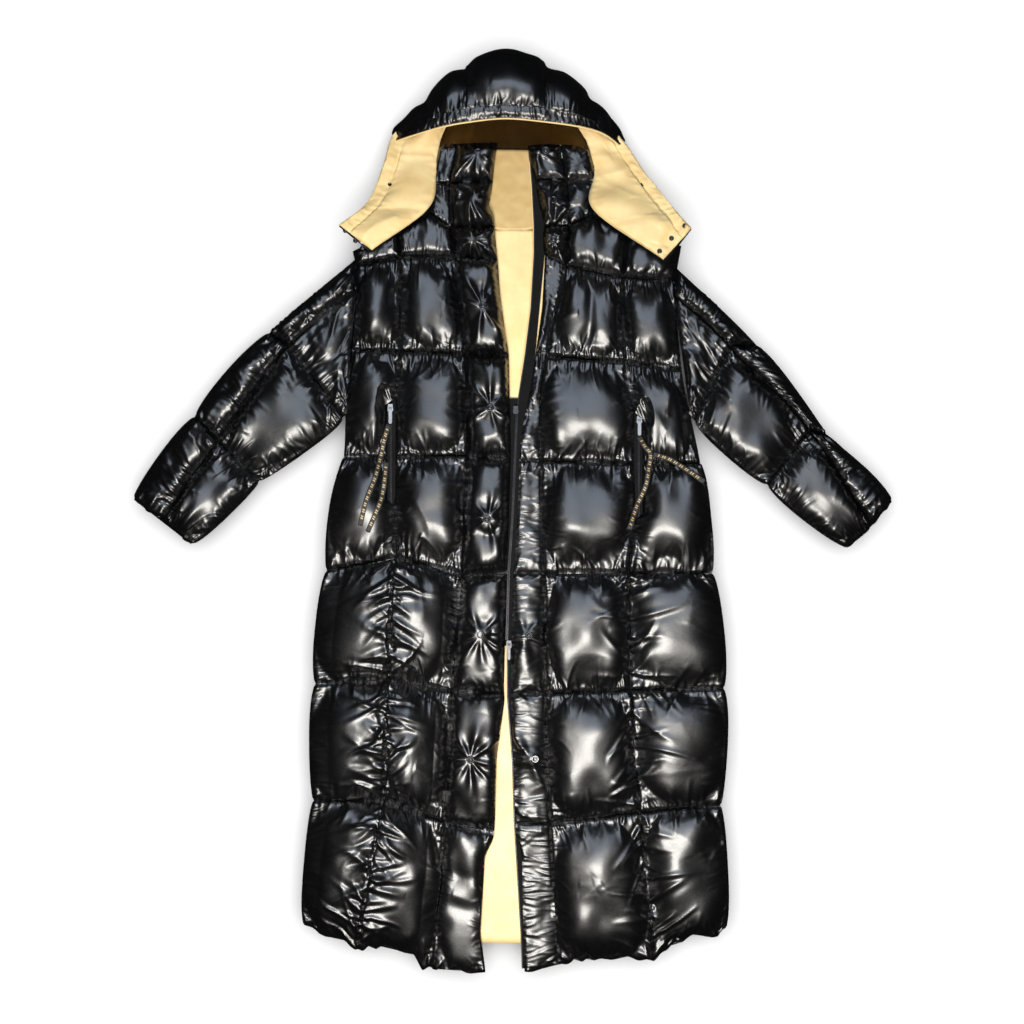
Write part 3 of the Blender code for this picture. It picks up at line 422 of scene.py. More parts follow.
def smoothAlong(points, places):
    # one smooth curve through the first axis
    count = len(points)
    start = np.clip(places.astype(int), 0, count - 2)
    share = (places - start).reshape((-1,) + (1,) * (points.ndim - 1))
    first = (start == 0).reshape(share.shape)
    last = (start == count - 2).reshape(share.shape)
    a, b = points[start], points[start + 1]
    before = np.where(first, 2 * a - b, points[np.maximum(start - 1, 0)])
    after = np.where(last, 2 * b - a, points[np.minimum(start + 2, count - 1)])
    leave, arrive = (b - before) / 2, (after - a) / 2
    return ((2 * share ** 3 - 3 * share ** 2 + 1) * a + (share ** 3 - 2 * share ** 2 + share) * leave
            + (3 * share ** 2 - 2 * share ** 3) * b + (share ** 3 - share ** 2) * arrive)


def meanSpans(points):
    # the mean distance from each row to the next, and from each column to the next
    return (norm(np.diff(points, axis=0), axis=2).mean(axis=1),
            norm(np.diff(points, axis=1), axis=2).mean(axis=0))


def divide(spans, spacing):
    # even places along the spans, and the index of each mark between them
    places, marks = [0.0], [0]
    for index, span in enumerate(spans):
        count = max(2, round(span / spacing))
        places += [index + (k + 1) / count for k in range(count)]
        marks.append(marks[-1] + count)
    return np.array(places), marks


def smoothGrid(grid, rowPlaces, columnPlaces):
    grid = smoothAlong(grid, rowPlaces)
    return np.swapaxes(smoothAlong(np.swapaxes(grid, 0, 1), columnPlaces), 0, 1)


def gridFaces(rowCount, columnCount, start=0):
    corners = start + np.arange(rowCount * columnCount).reshape(rowCount, columnCount)
    quads = (corners[:-1, :-1], corners[1:, :-1], corners[1:, 1:], corners[:-1, 1:])
    return np.stack(quads, axis=2).reshape(-1, 4).tolist()


def ringFaces(start, ringCount, sides):
    # a tube over rings of points, closed at both ends
    faces = []
    for ring in range(start, start + (ringCount - 1) * sides, sides):
        for k in range(sides):
            n = (k + 1) % sides
            faces.append((ring + k, ring + n, ring + sides + n, ring + sides + k))
    last = start + (ringCount - 1) * sides
    return faces + [tuple(range(start + sides - 1, start - 1, -1)), tuple(range(last, last + sides))]


def dome(count):
    # rises steeply from both ends and is nearly flat between them
    t = np.linspace(-1, 1, count)
    return np.maximum(0.0, 1 - np.abs(t) ** 2.4) ** 0.6


def awayFrom(grid):
    across = np.gradient(grid, axis=1)
    along = np.gradient(grid, axis=0)
    normals = np.cross(along, across)
    normals /= np.maximum(norm(normals, axis=2), 1e-6)[:, :, None]
    if normals[:, :, 2].mean() < 0:
        normals = -normals
    return normals


def layGrid(points, recipe, round3d):
    # a fine grid between the stitch lines, and the lengths of cloth along and across it
    rowSpans, columnSpans = meanSpans(points)
    columnSpans = columnSpans * recipe["slack"]
    rowPlaces, rowMarks = divide(rowSpans, recipe["spacing"])
    columnPlaces, columnMarks = divide(columnSpans, recipe["spacing"])
    if round3d:
        grid = smoothGrid(points, rowPlaces, columnPlaces)
    else:
        grid = smoothAlong(points, rowPlaces)
        left = np.clip(columnPlaces.astype(int), 0, points.shape[1] - 2)
        share = (columnPlaces - left)[None, :, None]
        grid = grid[:, left] * (1 - share) + grid[:, left + 1] * share
    along = np.interp(np.arange(grid.shape[0]), rowMarks, np.concatenate(([0], np.cumsum(rowSpans))))
    across = np.interp(np.arange(grid.shape[1]), columnMarks, np.concatenate(([0], np.cumsum(columnSpans))))
    return grid, rowMarks, columnMarks, along, across


def swellOutline(grid, side, amount, spans):
    # the filling pushes the outline out between two stitched rows
    columnCount = grid.shape[1]
    reach = np.linspace(1, 0, columnCount) if side == 0 else np.linspace(0, 1, columnCount)
    for a, b in spans:
        out = grid[a:b + 1, 0] - grid[a:b + 1, -1]
        out[:, 2] = 0
        out *= (1 if side == 0 else -1) / norm(out, axis=1)[:, None]
        out *= dome(b - a + 1)[:, None] * amount
        grid[a:b + 1] += out[:, None] * (reach ** 3)[None, :, None]


def addPattern(name, net, recipe, way=1, swell=None, tufts=(), softSeams=None, round3d=False, seed=1):
    # a flat pattern with more cloth across it than the stitch lines leave room for
    recipe = {**usualRecipe, **recipe}
    grid, rowMarks, columnMarks, along, across = layGrid(net["points"], recipe, round3d)
    rowCount, columnCount = grid.shape[:2]
    stitched = [i for i, label in enumerate(net["rows"])
                if label not in shapeRows or i in (0, len(rowMarks) - 1)]
    stitchedRows = [rowMarks[i] for i in stitched]
    stitchedColumns = [columnMarks[j] for j, label in enumerate(net["columns"])
                       if label not in shapeColumns or j in (0, len(columnMarks) - 1)]
    spans = [(a, b) for i, a, b in zip(stitched, stitchedRows, stitchedRows[1:])
             if net["rows"][i] in swellRows]
    for side, amount in (swell or {}).items():
        swellOutline(grid, side, amount, spans)
    dice = np.random.default_rng(seed)
    held = np.zeros((rowCount, columnCount), bool)
    held[:, [0, -1]] = True
    held[[0, -1]] = True
    held[stitchedRows] = True
    held[:, stitchedColumns] = True
    start = np.zeros((rowCount, columnCount))
    start[stitchedRows] -= recipe["sink"]
    seamWeight = np.zeros((rowCount, columnCount))
    creaseSpans, softSpans = [], []
    for column, firstRow, lastRow in recipe["creased"]:
        first, last = (rowMarks[net["rows"].index(label)] for label in (firstRow, lastRow))
        creaseSpans.append((2 * columnMarks[net["columns"].index(column)], along[first], along[last]))
    for column, (firstRow, lastRow, lift) in (softSeams or {}).items():
        middle = columnMarks[net["columns"].index(column)]
        first, last = (rowMarks[net["rows"].index(label)] for label in (firstRow, lastRow))
        rowsHere = [r for r in stitchedRows if first <= r <= last]
        softSpans.append((2 * middle, along[first], along[last]))
        spread = np.interp(np.arange(columnCount), (0, middle, columnCount - 1), (0, 1, 0))
        spread = np.sin(spread * math.pi / 2)
        for a, b in zip(rowsHere, rowsHere[1:]):
            held[a + 2:b - 1, middle] = False
            seamWeight[a:b + 1, middle] = 1.0
            start[a + 1:b] += lift * dome(b - a + 1)[1:-1, None] * spread[None, :]
    for x, y, height in tufts:
        distance = np.hypot(grid[:, :, 0] - x, grid[:, :, 1] - y)
        lift = height - grid[:, :, 2]
        start = np.maximum(start, lift * np.exp(-(distance / drapeSettings["tentReach"]) ** 2))
        start = np.where(distance < recipe["tuftRadius"], lift, start)
        held |= distance < recipe["tuftRadius"]
    # small gathers beside the stitched columns start the folds
    knots = dice.normal(0, 1, (max(4, rowCount // 2), len(stitchedColumns)))
    for k, column in enumerate(stitchedColumns):
        wave = np.interp(np.arange(rowCount), np.linspace(0, rowCount - 1, len(knots)), knots[:, k])
        fade = np.exp(-np.abs(across - across[column]) / recipe["gatherReach"])
        start += recipe["gather"] * wave[:, None] * fade[None, :] * ~held
    start += dice.normal(0, 1, start.shape) * np.where(held, recipe["pucker"], 0.5)
    normals = awayFrom(grid) if round3d else np.broadcast_to((0.0, 0.0, 1.0), grid.shape)
    pattern = {"name": name, "grid": grid, "along": along, "across": across, "start": start,
               "held": held, "seam": seamWeight, "recipe": recipe, "way": way, "normals": normals,
               "columnMarks": columnMarks, "columns": net["columns"], "tufts": tufts,
               "softSpans": softSpans, "creaseSpans": creaseSpans + softSpans, "seed": seed,
               "stitchedRows": stitchedRows, "stitchedColumns": stitchedColumns}
    patterns.append(pattern)
    return pattern


def hangPattern(pattern):
    recipe = pattern["recipe"]
    x, y = np.meshgrid(pattern["across"], pattern["along"])
    flat = np.stack((x, -y, pattern["start"]), axis=2).reshape(-1, 3) * mm
    mesh = bpy.data.meshes.new("pattern_" + pattern["name"])
    mesh.from_pydata(flat.tolist(), [], gridFaces(*x.shape))
    item = bpy.data.objects.new("pattern_" + pattern["name"], mesh)
    scene.collection.objects.link(item)
    for label in ("held", "seam"):
        group = item.vertex_groups.new(name=label)
        group.add(np.nonzero(pattern[label].ravel())[0].tolist(), 1.0, "REPLACE")
    modifier = item.modifiers.new("cloth", "CLOTH")
    cloth = modifier.settings
    cloth.quality = clothSettings["quality"]
    cloth.mass = clothSettings["mass"]
    cloth.tension_stiffness = cloth.compression_stiffness = clothSettings["tension"]
    cloth.shear_stiffness = clothSettings["shear"]
    cloth.bending_stiffness = recipe["bending"]
    cloth.tension_damping = cloth.compression_damping = cloth.shear_damping = clothSettings["damping"]
    cloth.bending_damping = clothSettings["bendDamping"]
    cloth.air_damping = clothSettings["air"]
    cloth.vertex_group_mass = "held"
    cloth.pin_stiffness = 1.0
    cloth.use_pressure = True
    cloth.uniform_pressure_force = recipe["pressure"]
    cloth.shrink_min = -recipe["growth"]
    if pattern["seam"].any():
        cloth.vertex_group_shrink = cloth.vertex_group_structural_stiffness = "seam"
        cloth.shrink_max = -recipe["seamGrowth"]
        cloth.tension_stiffness_max = cloth.compression_stiffness_max = clothSettings["seamTension"]
    cloth.effector_weights.gravity = 0.0
    modifier.collision_settings.use_collision = False
    modifier.collision_settings.use_self_collision = False
    pattern["item"] = item


def placeIn(values, where):
    # fractional index of a length, carried on in a straight line past both ends
    count = len(values)
    index = np.interp(where, values, np.arange(count))
    index = np.where(where < values[0], (where - values[0]) / (values[1] - values[0]), index)
    past = count - 1 + (where - values[-1]) / (values[-1] - values[-2])
    return np.where(where > values[-1], past, index)


def readGrid(grid, a, b):
    i = np.clip(np.floor(a).astype(int), 0, grid.shape[0] - 2)
    j = np.clip(np.floor(b).astype(int), 0, grid.shape[1] - 2)
    s, t = (a - i)[..., None], (b - j)[..., None]
    return ((1 - s) * (1 - t) * grid[i, j] + s * (1 - t) * grid[i + 1, j]
            + (1 - s) * t * grid[i, j + 1] + s * t * grid[i + 1, j + 1])


def toNearest(places, lines):
    # how far each place is from the nearest line
    return np.abs(places[:, None] - places[lines][None, :]).min(axis=1)


def calmCloth(pattern, local):
    # the tops are ironed smooth, and the folds beside the stitching stay
    rows = toNearest(pattern["along"], pattern["stitchedRows"])
    columns = toNearest(pattern["across"], pattern["stitchedColumns"])
    near = np.minimum(rows[:, None], columns[None, :] * 2.0)
    ironed = np.clip(near / pattern["recipe"]["calmReach"], drapeSettings["calmLeast"], 1.0)
    ironed = np.where(pattern["held"], 0.0, ironed)[:, :, None]
    for k in range(drapeSettings["calm"]):
        middle = local.copy()
        middle[1:-1, 1:-1] = (local[:-2, 1:-1] + local[2:, 1:-1] + local[1:-1, :-2] + local[1:-1, 2:]) / 4
        local = local + (middle - local) * ironed * drapeSettings["calmShare"]
    return local


def drapePattern(pattern, local):
    # carry the blown-up pattern over to the coat
    recipe = pattern["recipe"]
    local = calmCloth(pattern, local)
    a = placeIn(pattern["along"], -local[:, :, 1])
    b = placeIn(pattern["across"], local[:, :, 0])
    surface = readGrid(pattern["grid"], a, b)
    normals = readGrid(pattern["normals"], np.clip(a, 0, local.shape[0] - 1),
                       np.clip(b, 0, local.shape[1] - 1))
    # the filling rises at once beside the stitching, and the tops flatten near the full loft
    near = np.minimum(toNearest(pattern["along"], pattern["stitchedRows"])[:, None],
                      toNearest(pattern["across"], pattern["stitchedColumns"])[None, :])
    blown = np.maximum(local[:, :, 2], recipe["least"] * (1 - np.exp(-near / drapeSettings["edge"])))
    if recipe["rise"]:
        usual = np.percentile(blown[~pattern["held"]], drapeSettings["usual"])
        blown = blown * min(max(recipe["rise"] / usual, 1.0), drapeSettings["most"])
    puffed = recipe["loft"] * np.tanh(blown / recipe["loft"])
    held = pattern["held"].copy()
    for x, y, level in pattern["tufts"]:
        # the filling round a snap stands as high as the snap
        distance = np.hypot(surface[:, :, 0] - x, surface[:, :, 1] - y)
        spot = distance < drapeSettings["spot"]
        if not spot.any():
            continue
        lack = level - (surface[:, :, 2] + puffed)[spot].mean()
        puffed = puffed + (lack * np.exp(-(distance / drapeSettings["tuftReach"]) ** 2)
                           * (1 - np.exp(-(near / drapeSettings["tuftEdge"]) ** 1.5)))
        held &= (distance > drapeSettings["loose"]) | (near < 0.5)
    height = np.where(held, local[:, :, 2], puffed)[:, :, None]
    pattern["surface"] = surface + normals * height * pattern["way"]


foldSettings = {"root": 3.0, "hollow": 0.45, "hollowAt": 1.8, "hollowWidth": 1.3}


def foldField(across, along, folds):
    # each fold is a crest with a shallow hollow beside it, fading out from its root
    field = np.zeros((len(along), len(across)))
    for x, y, angle, length, width, height, bend in folds:
        reach = length + 3 * width
        i0, i1 = np.searchsorted(along, (y - reach, y + reach))
        j0, j1 = np.searchsorted(across, (x - reach, x + reach))
        if i1 - i0 < 2 or j1 - j0 < 2:
            continue
        dx, dy = across[j0:j1][None, :] - x, along[i0:i1][:, None] - y
        u = dx * math.cos(angle) + dy * math.sin(angle)
        v = dy * math.cos(angle) - dx * math.sin(angle) - bend * u * u / length
        fade = np.clip(u / foldSettings["root"] + 0.3, 0, 1) * np.clip(1 - u / length, 0, 1) ** 0.8
        beside = (v - foldSettings["hollowAt"] * width) / (foldSettings["hollowWidth"] * width)
        crest = np.exp(-np.abs(v / width) ** 1.5) - foldSettings["hollow"] * np.exp(-beside ** 2)
        field[i0:i1, j0:j1] += height * fade * crest
    return field


def plannedFolds(pattern, across, along, dice):
    recipe = pattern["recipe"]["folds"]
    pick = lambda pair: dice.uniform(*pair)
    folds = []
    width, length = across[-1], along[-1]
    creased = pattern["creaseSpans"]
    rows = along[pattern["stitchedRows"]]
    for row in pattern["stitchedRows"]:
        for way in (1, -1):
            y, x = along[row], pick((0, recipe["rowEvery"]))
            while x < width:
                angle = way * math.pi / 2 + dice.normal(0, recipe["lean"])
                folds.append((x, y, angle, pick(recipe["rowLength"]), pick(recipe["width"]),
                              pick(recipe["rowHeight"]), dice.normal(0, 0.12)))
                x += recipe["rowEvery"] * pick((0.6, 1.5))
    for column in pattern["stitchedColumns"]:
        for way in (0.0, math.pi):
            x, y = across[column], pick((0, recipe["columnEvery"]))
            while y < length:
                inCrease = any(column == c and a < y < b for c, a, b in creased)
                cell = min(max(int(np.searchsorted(rows, y)), 1), len(rows) - 1)
                share = (y - rows[cell - 1]) / (rows[cell] - rows[cell - 1])
                fan = (0.5 - share) * 1.5 * inCrease * (1 if way == 0.0 else -1)    # away from the knots
                for kind in pattern["recipe"]["seamFolds"] if inCrease else (recipe,):
                    folds.append((x, y + pick((-6, 6)) * inCrease, way + fan + dice.normal(0, kind["lean"]),
                                  pick(kind["columnLength"]), pick(kind["width"]),
                                  pick(kind["columnHeight"]), dice.normal(0, 0.2)))
                y += kind["columnEvery"] * pick((0.6, 1.5))
    for k in range(int(width * length / 1e4 * recipe["long"])):
        folds.append((pick((0, width)), pick((0, length)), pick((0, 2 * math.pi)), pick((40, 90)),
                      pick((5, 9)), pick(recipe["longHeight"]), dice.normal(0, 0.3)))
    return folds


def starField(across, along, x, y, settings, dice):
    # folds run out from a tied-down point
    dx, dy = across[None, :] - x, along[:, None] - y
    distance, turn = np.hypot(dx, dy), np.arctan2(dy, dx)
    field = np.zeros(distance.shape)
    count = int(dice.integers(*settings["rays"]))
    for k in range(count):
        middle = 2 * math.pi * (k + dice.uniform(-0.45, 0.45)) / count
        upright = abs(math.sin(middle))
        length = dice.uniform(*settings["length"]) * (0.65 + 0.35 * upright)
        off = (turn - middle + math.pi) % (2 * math.pi) - math.pi
        side = distance * np.sin(np.clip(off, -1.5, 1.5))
        width = settings["width"] + settings["widen"] * distance
        root = np.clip((distance - settings["gap"]) / settings["root"], 0, 1)
        fade = root * np.clip(1 - distance / length, 0, 1) ** 0.8
        ray = np.where(np.abs(off) < 1.2, np.exp(-(side / width) ** 2) * fade, 0.0)
        field += ray * dice.uniform(*settings["height"])
    return field


def lumpField(across, along, spacing, amount, dice):
    # the filling lies unevenly
    rows, columns = int(along[-1] / spacing) + 3, int(across[-1] / spacing) + 3
    knots = dice.normal(0, 1, (rows, columns))
    field = smoothAlong(knots, along / along[-1] * (rows - 1))
    return smoothAlong(field.T, across / across[-1] * (columns - 1)).T * amount


ridgeSettings = {"flat": 34.0, "fall": 13.0, "border": 26.0, "groove": 2.4}


def refine(pattern):
    # twice as many points, with the folds pressed in
    recipe = pattern["recipe"]
    if recipe["folds"] is None:
        return
    dice = np.random.default_rng(pattern["seed"] + 100)
    halfRows, halfColumns = (np.linspace(0, n - 1, 2 * n - 1) for n in pattern["held"].shape)
    across = np.interp(halfColumns, np.arange(len(pattern["across"])), pattern["across"]) / recipe["slack"]
    along = np.interp(halfRows, np.arange(len(pattern["along"])), pattern["along"])
    for key in ("columnMarks", "stitchedRows", "stitchedColumns"):
        pattern[key] = [2 * k for k in pattern[key]]
    rows, soft = pattern["stitchedRows"], pattern["softSpans"]
    field = foldField(across, along, plannedFolds(pattern, across, along, dice))
    for x, y, height in pattern["tufts"]:
        flat = pattern["surface"][:, :, :2] - (x, y)
        i, j = np.unravel_index(np.argmin(np.hypot(flat[:, :, 0], flat[:, :, 1])), flat.shape[:2])
        field += starField(across, along, across[2 * j], along[2 * i], starSettings, dice)
    for spacing, amount in recipe["lumps"]:
        field += lumpField(across, along, spacing, amount, dice)
    field = np.maximum(field + recipe["bias"], recipe["hollow"])
    for column, first, last in soft:
        # the cloth stands up along the soft seam and slopes away on both sides
        distance = np.abs(across - across[column])
        whole = np.where(across < across[column], across[column] - across[0], across[-1] - across[column])
        share = np.clip((distance - ridgeSettings["flat"]) / (whole - ridgeSettings["flat"]), 0, 1)
        profile = (-ridgeSettings["fall"] * share ** 1.3 * (1 - share ** 6)
                   * np.clip((whole - distance) / ridgeSettings["border"], 0, 1))
        for a, b in zip(rows, rows[1:]):
            if along[a] >= first - 1 and along[b] <= last + 1:
                field[a:b + 1] += dome(b - a + 1)[:, None] * profile[None, :]
    hard = [c for c in pattern["stitchedColumns"] if c not in {c for c, a, b in soft}]
    field *= np.clip(toNearest(along, rows) / 3.0, 0, 1)[:, None]
    field *= np.clip(toNearest(across, hard) / 3.0, 0, 1)[None, :]
    for column, first, last in soft:
        groove = np.exp(-((across - across[column]) / ridgeSettings["groove"]) ** 2)
        inside = (along > first) & (along < last)
        field -= recipe["seamDepth"] * groove[None, :] * inside[:, None]
    surface = smoothGrid(pattern["surface"], halfRows, halfColumns)
    pattern["surface"] = surface + awayFrom(surface) * field[:, :, None] * pattern["way"]
    pattern["grid"] = smoothGrid(pattern["grid"], halfRows, halfColumns)
    pattern["normals"] = np.repeat(np.repeat(pattern["normals"], 2, 0), 2, 1)[:-1, :-1]


def blowUp():
    for pattern in patterns:
        hangPattern(pattern)
    for number in range(1, clothSettings["frames"] + 1):
        scene.frame_set(number)
    graph = bpy.context.evaluated_depsgraph_get()
    for pattern in patterns:
        item, shape = pattern.pop("item"), pattern["held"].shape
        local = np.zeros(3 * shape[0] * shape[1], np.float32)
        item.evaluated_get(graph).data.vertices.foreach_get("co", local)
        drapePattern(pattern, local.reshape(*shape, 3).astype(float) / mm)
        mesh = item.data
        bpy.data.objects.remove(item)
        bpy.data.meshes.remove(mesh)
    scene.frame_set(1)


# folds and recipes of the padded pieces: a fold's size is drawn between the two ends of each pair
bodyFolds = {"rowEvery": 5.2, "rowLength": (14, 56), "rowHeight": (0.7, 2.2), "columnEvery": 8.0,
             "columnLength": (12, 42), "columnHeight": (0.7, 2.1), "width": (1.8, 3.4), "lean": 0.32,
             "long": 1.8, "longHeight": (0.5, 1.5)}
princessFolds = ({"columnEvery": 10.0, "columnLength": (12, 32), "columnHeight": (1.6, 3.2),
                  "width": (1.9, 3.0), "lean": 0.45},
                 {"columnEvery": 12.0, "columnLength": (32, 72), "columnHeight": (2.6, 5.4),
                  "width": (2.8, 5.0), "lean": 0.45})
sideFolds = ({"columnEvery": 12.0, "columnLength": (12, 34), "columnHeight": (1.0, 2.4),
              "width": (1.9, 3.0), "lean": 0.4},
             {"columnEvery": 21.0, "columnLength": (36, 82), "columnHeight": (2.2, 4.8),
              "width": (2.8, 5.0), "lean": 0.45})
placketFolds = {"rowEvery": 5.2, "rowLength": (10, 32), "rowHeight": (0.6, 1.7), "columnEvery": 8.0,
                "columnLength": (8, 26), "columnHeight": (0.6, 1.6), "width": (1.7, 2.8), "lean": 0.35,
                "long": 1.5, "longHeight": (0.4, 1.0)}
sleeveFolds = {"rowEvery": 5.2, "rowLength": (16, 56), "rowHeight": (0.8, 2.6), "columnEvery": 6.5,
               "columnLength": (14, 50), "columnHeight": (0.9, 2.7), "width": (1.8, 3.2), "lean": 0.3,
               "long": 1.6, "longHeight": (0.5, 1.4)}
brimFolds = {"rowEvery": 7.0, "rowLength": (6, 18), "rowHeight": (0.5, 1.4), "columnEvery": 30.0,
             "columnLength": (8, 12), "columnHeight": (0.5, 1.0), "width": (2.0, 3.0), "lean": 0.2,
             "long": 0.0, "longHeight": (0.0, 0.1)}
wingFolds = {"rowEvery": 22.0, "rowLength": (18, 46), "rowHeight": (0.6, 1.6), "columnEvery": 11.0,
             "columnLength": (9, 24), "columnHeight": (0.5, 1.3), "width": (2.6, 4.4), "lean": 0.5,
             "long": 4.0, "longHeight": (1.0, 2.6)}
starSettings = {"rays": (8, 12), "length": (38, 88), "height": (3.5, 8.0), "width": 1.2, "widen": 0.12,
                "gap": 5.0, "root": 15.0}
frontRecipe = {"least": 6.0, "spacing": 4.5, "slack": 1.5, "pressure": 9.0, "sink": 2.5,
               "seamGrowth": 0.05, "loft": 40.0, "folds": bodyFolds, "seamFolds": princessFolds,
               "seamDepth": 2.0, "calmReach": 30.0, "lumps": ((26.0, 0.8), (48.0, 1.6))}
placketRecipe = {"least": 4.0, "spacing": 3.8, "slack": 1.25, "sink": 1.5, "tuftRadius": 4.6,
                 "gather": 0.3, "loft": 11.0, "folds": placketFolds}
shoulderRecipe = {"least": 5.0, "spacing": 4.2, "slack": 1.35, "growth": 0.12, "sink": 1.0,
                  "rise": 34.0, "loft": 21.0, "folds": placketFolds}
collarRecipe = {"least": 4.0, "spacing": 3.6, "slack": 1.2, "growth": 0.11, "sink": 1.0,
                "tuftRadius": 4.6, "gather": 0.3, "loft": 12.0, "folds": placketFolds}
sleeveRecipe = {"least": 5.0, "spacing": 4.4, "slack": 1.45, "pressure": 9.0, "sink": 2.0,
                "rise": 32.0, "loft": 25.0, "folds": sleeveFolds, "calmReach": 30.0,
                "lumps": ((26.0, 0.9), (48.0, 1.6))}
backRecipe = {"spacing": 8.5, "slack": 1.2, "pressure": 4.0, "growth": 0.08, "bending": 0.5,
              "gather": 1.0, "pucker": 0.0, "loft": 40.0}
crownRecipe = {"spacing": 3.8, "slack": 1.2, "pressure": 7.0, "growth": 0.13, "sink": 1.5,
               "gather": 0.5, "loft": 17.0, "folds": placketFolds}
brimRecipe = {"spacing": 3.0, "slack": 1.15, "pressure": 5.0, "growth": 0.08, "bending": 0.1,
              "gather": 0.5, "loft": 9.0, "folds": brimFolds}
hoodRecipe = {"spacing": 7.0, "slack": 1.15, "pressure": 3.0, "growth": 0.06, "loft": 12.0}
wingRecipe = {"spacing": 4.0, "slack": 1.1, "pressure": 4.0, "growth": 0.05, "bending": 0.8,
              "gather": 0.3, "gatherReach": 9.0, "loft": 9.0, "folds": wingFolds,
              "lumps": ((26.0, 0.9), (55.0, 2.6)), "bias": 3.2, "hollow": -0.3}


def snapHeights(side, places):
    # each cap keeps its place, so the cloth is tied down to just under it
    return [(x, y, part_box("snap_%s_%d" % (side, number))[0].z / mm - 0.2)
            for number, (x, y) in enumerate(places, 1)]


rightTufts, leftTufts = snapHeights("right", rightSnaps), snapHeights("left", leftSnaps)
rightTable, leftTable = (rightFront, rightColumns), (leftFront, leftColumns)
sideLevels = {"side": sideLevel}
bodyRight = addPattern(
    "body_right", takeRows(*rightTable, ("side", "princess", "placket"), "yoke", "hem", frontLevel,
                           sideLevels),
    frontRecipe, swell={0: 9.0}, softSeams={"princess": ("waist", "hem", 22.0)}, seed=11)
bodyLeft = addPattern(
    "body_left", takeRows(*leftTable, ("placket", "princess", "side"), "yoke", "hem", frontLevel,
                          sideLevels),
    dict(frontRecipe, seamFolds=sideFolds, creased=(("princess", "waist", "hem"),)), swell={-1: 9.0},
    seed=12)
placketRight = addPattern(
    "placket_right", takeRows(*rightTable, ("placket", "edge"), "collarTop", "hem", frontLevel,
                              {"edge": flapLevel}),
    placketRecipe, tufts=rightTufts, seed=13)
placketLeft = addPattern(
    "placket_left", takeRows(*leftTable, ("edge", "placket"), "yoke", "hem", frontLevel),
    dict(placketRecipe, spacing=3.4), tufts=leftTufts[3:], seed=14)


def shoulderNet(table, columns, wanted):
    net = takeRows(table, columns, wanted, "neck", "yoke", frontLevel, sideLevels)
    outer = [wanted.index(column) for column in ("side", "princess", "fold")]
    net["points"][0, outer, 2] = sideLevel
    return net


shoulderRight = addPattern("shoulder_right", shoulderNet(
    *rightTable, ("side", "princess", "fold", "placket")), shoulderRecipe, seed=15)
shoulderLeft = addPattern("shoulder_left", shoulderNet(
    *leftTable, ("edge", "placket", "fold", "princess", "side")), shoulderRecipe,
    tufts=leftTufts[2:3], seed=16)
collarRight = addPattern("collar_right", takeRows(
    *rightTable, ("fold", "placket"), "collarTop", "neck", frontLevel), collarRecipe, seed=17)
collarLeft = addPattern("collar_left", takeRows(
    *leftTable, ("edge", "placket", "fold"), "collarTop", "neck", frontLevel), collarRecipe,
    tufts=leftTufts[:3], seed=18)
collarBackNet = takeRows(collarBack, collarBackColumns, collarBackColumns, "top", "neck", 29.0)
collarRear = addPattern("collar_back", collarBackNet, dict(backRecipe, pressure=2.0), way=-1, seed=19)

sleevePatterns = {}
for side, table, seed in (("right", rightSleeve, 21), ("left", leftSleeve, 25)):
    levels = {"upper": sideLevel, "lower": sideLevel}
    for part, wanted, outline in (("upper", ("upper", "middle"), 0), ("lower", ("middle", "lower"), -1)):
        net = takeRows(table, sleeveColumns, wanted, "armhole", "cuff", frontLevel, levels)
        sleevePatterns["sleeve_%s_%s" % (part, side)] = addPattern(
            "sleeve_%s_%s" % (part, side), net, sleeveRecipe, swell={outline: 9.0},
            seed=seed + (part == "lower"))
    net = takeRows(table, sleeveColumns, sleeveColumns, "armhole", "cuff", backLevel,
                   {"upper": backSideLevel, "lower": backSideLevel})
    sleevePatterns["sleeve_back_" + side] = addPattern(
        "sleeve_back_" + side, net, backRecipe, way=-1, swell={0: 7.0, -1: 7.0}, seed=seed + 2)


def backNet():
    pairs = [pair for pair in zip(rightFront, leftFront)
             if pair[0][1] is not None and pair[0][0] != "pocketTop"]
    points = []
    for right, left in pairs:
        if right[0] == "neck":
            inner = backNeck
        else:
            rightSeam, leftSeam = right[2], left[4]
            middle = backHem if right[0] == "hem" else (0, (rightSeam[1] + leftSeam[1]) / 2)
            inner = ((rightSeam[0] + 40, rightSeam[1], backLevel), (*middle, backLevel),
                     (leftSeam[0] - 40, leftSeam[1], backLevel))
        points.append([(*right[1], backSideLevel), *inner, (*left[5], backSideLevel)])
    return {"points": np.array(points, float), "rows": [right[0] for right, left in pairs],
            "columns": ["side", "right", "middle", "left", "side"]}


wholeBack = backNet()
backPattern = addPattern("back", wholeBack, backRecipe, way=-1, swell={0: 9.0, -1: 9.0}, seed=31)


def freeInside(names):
    return [names[0]] + ["free"] * (len(names) - 2) + [names[-1]]


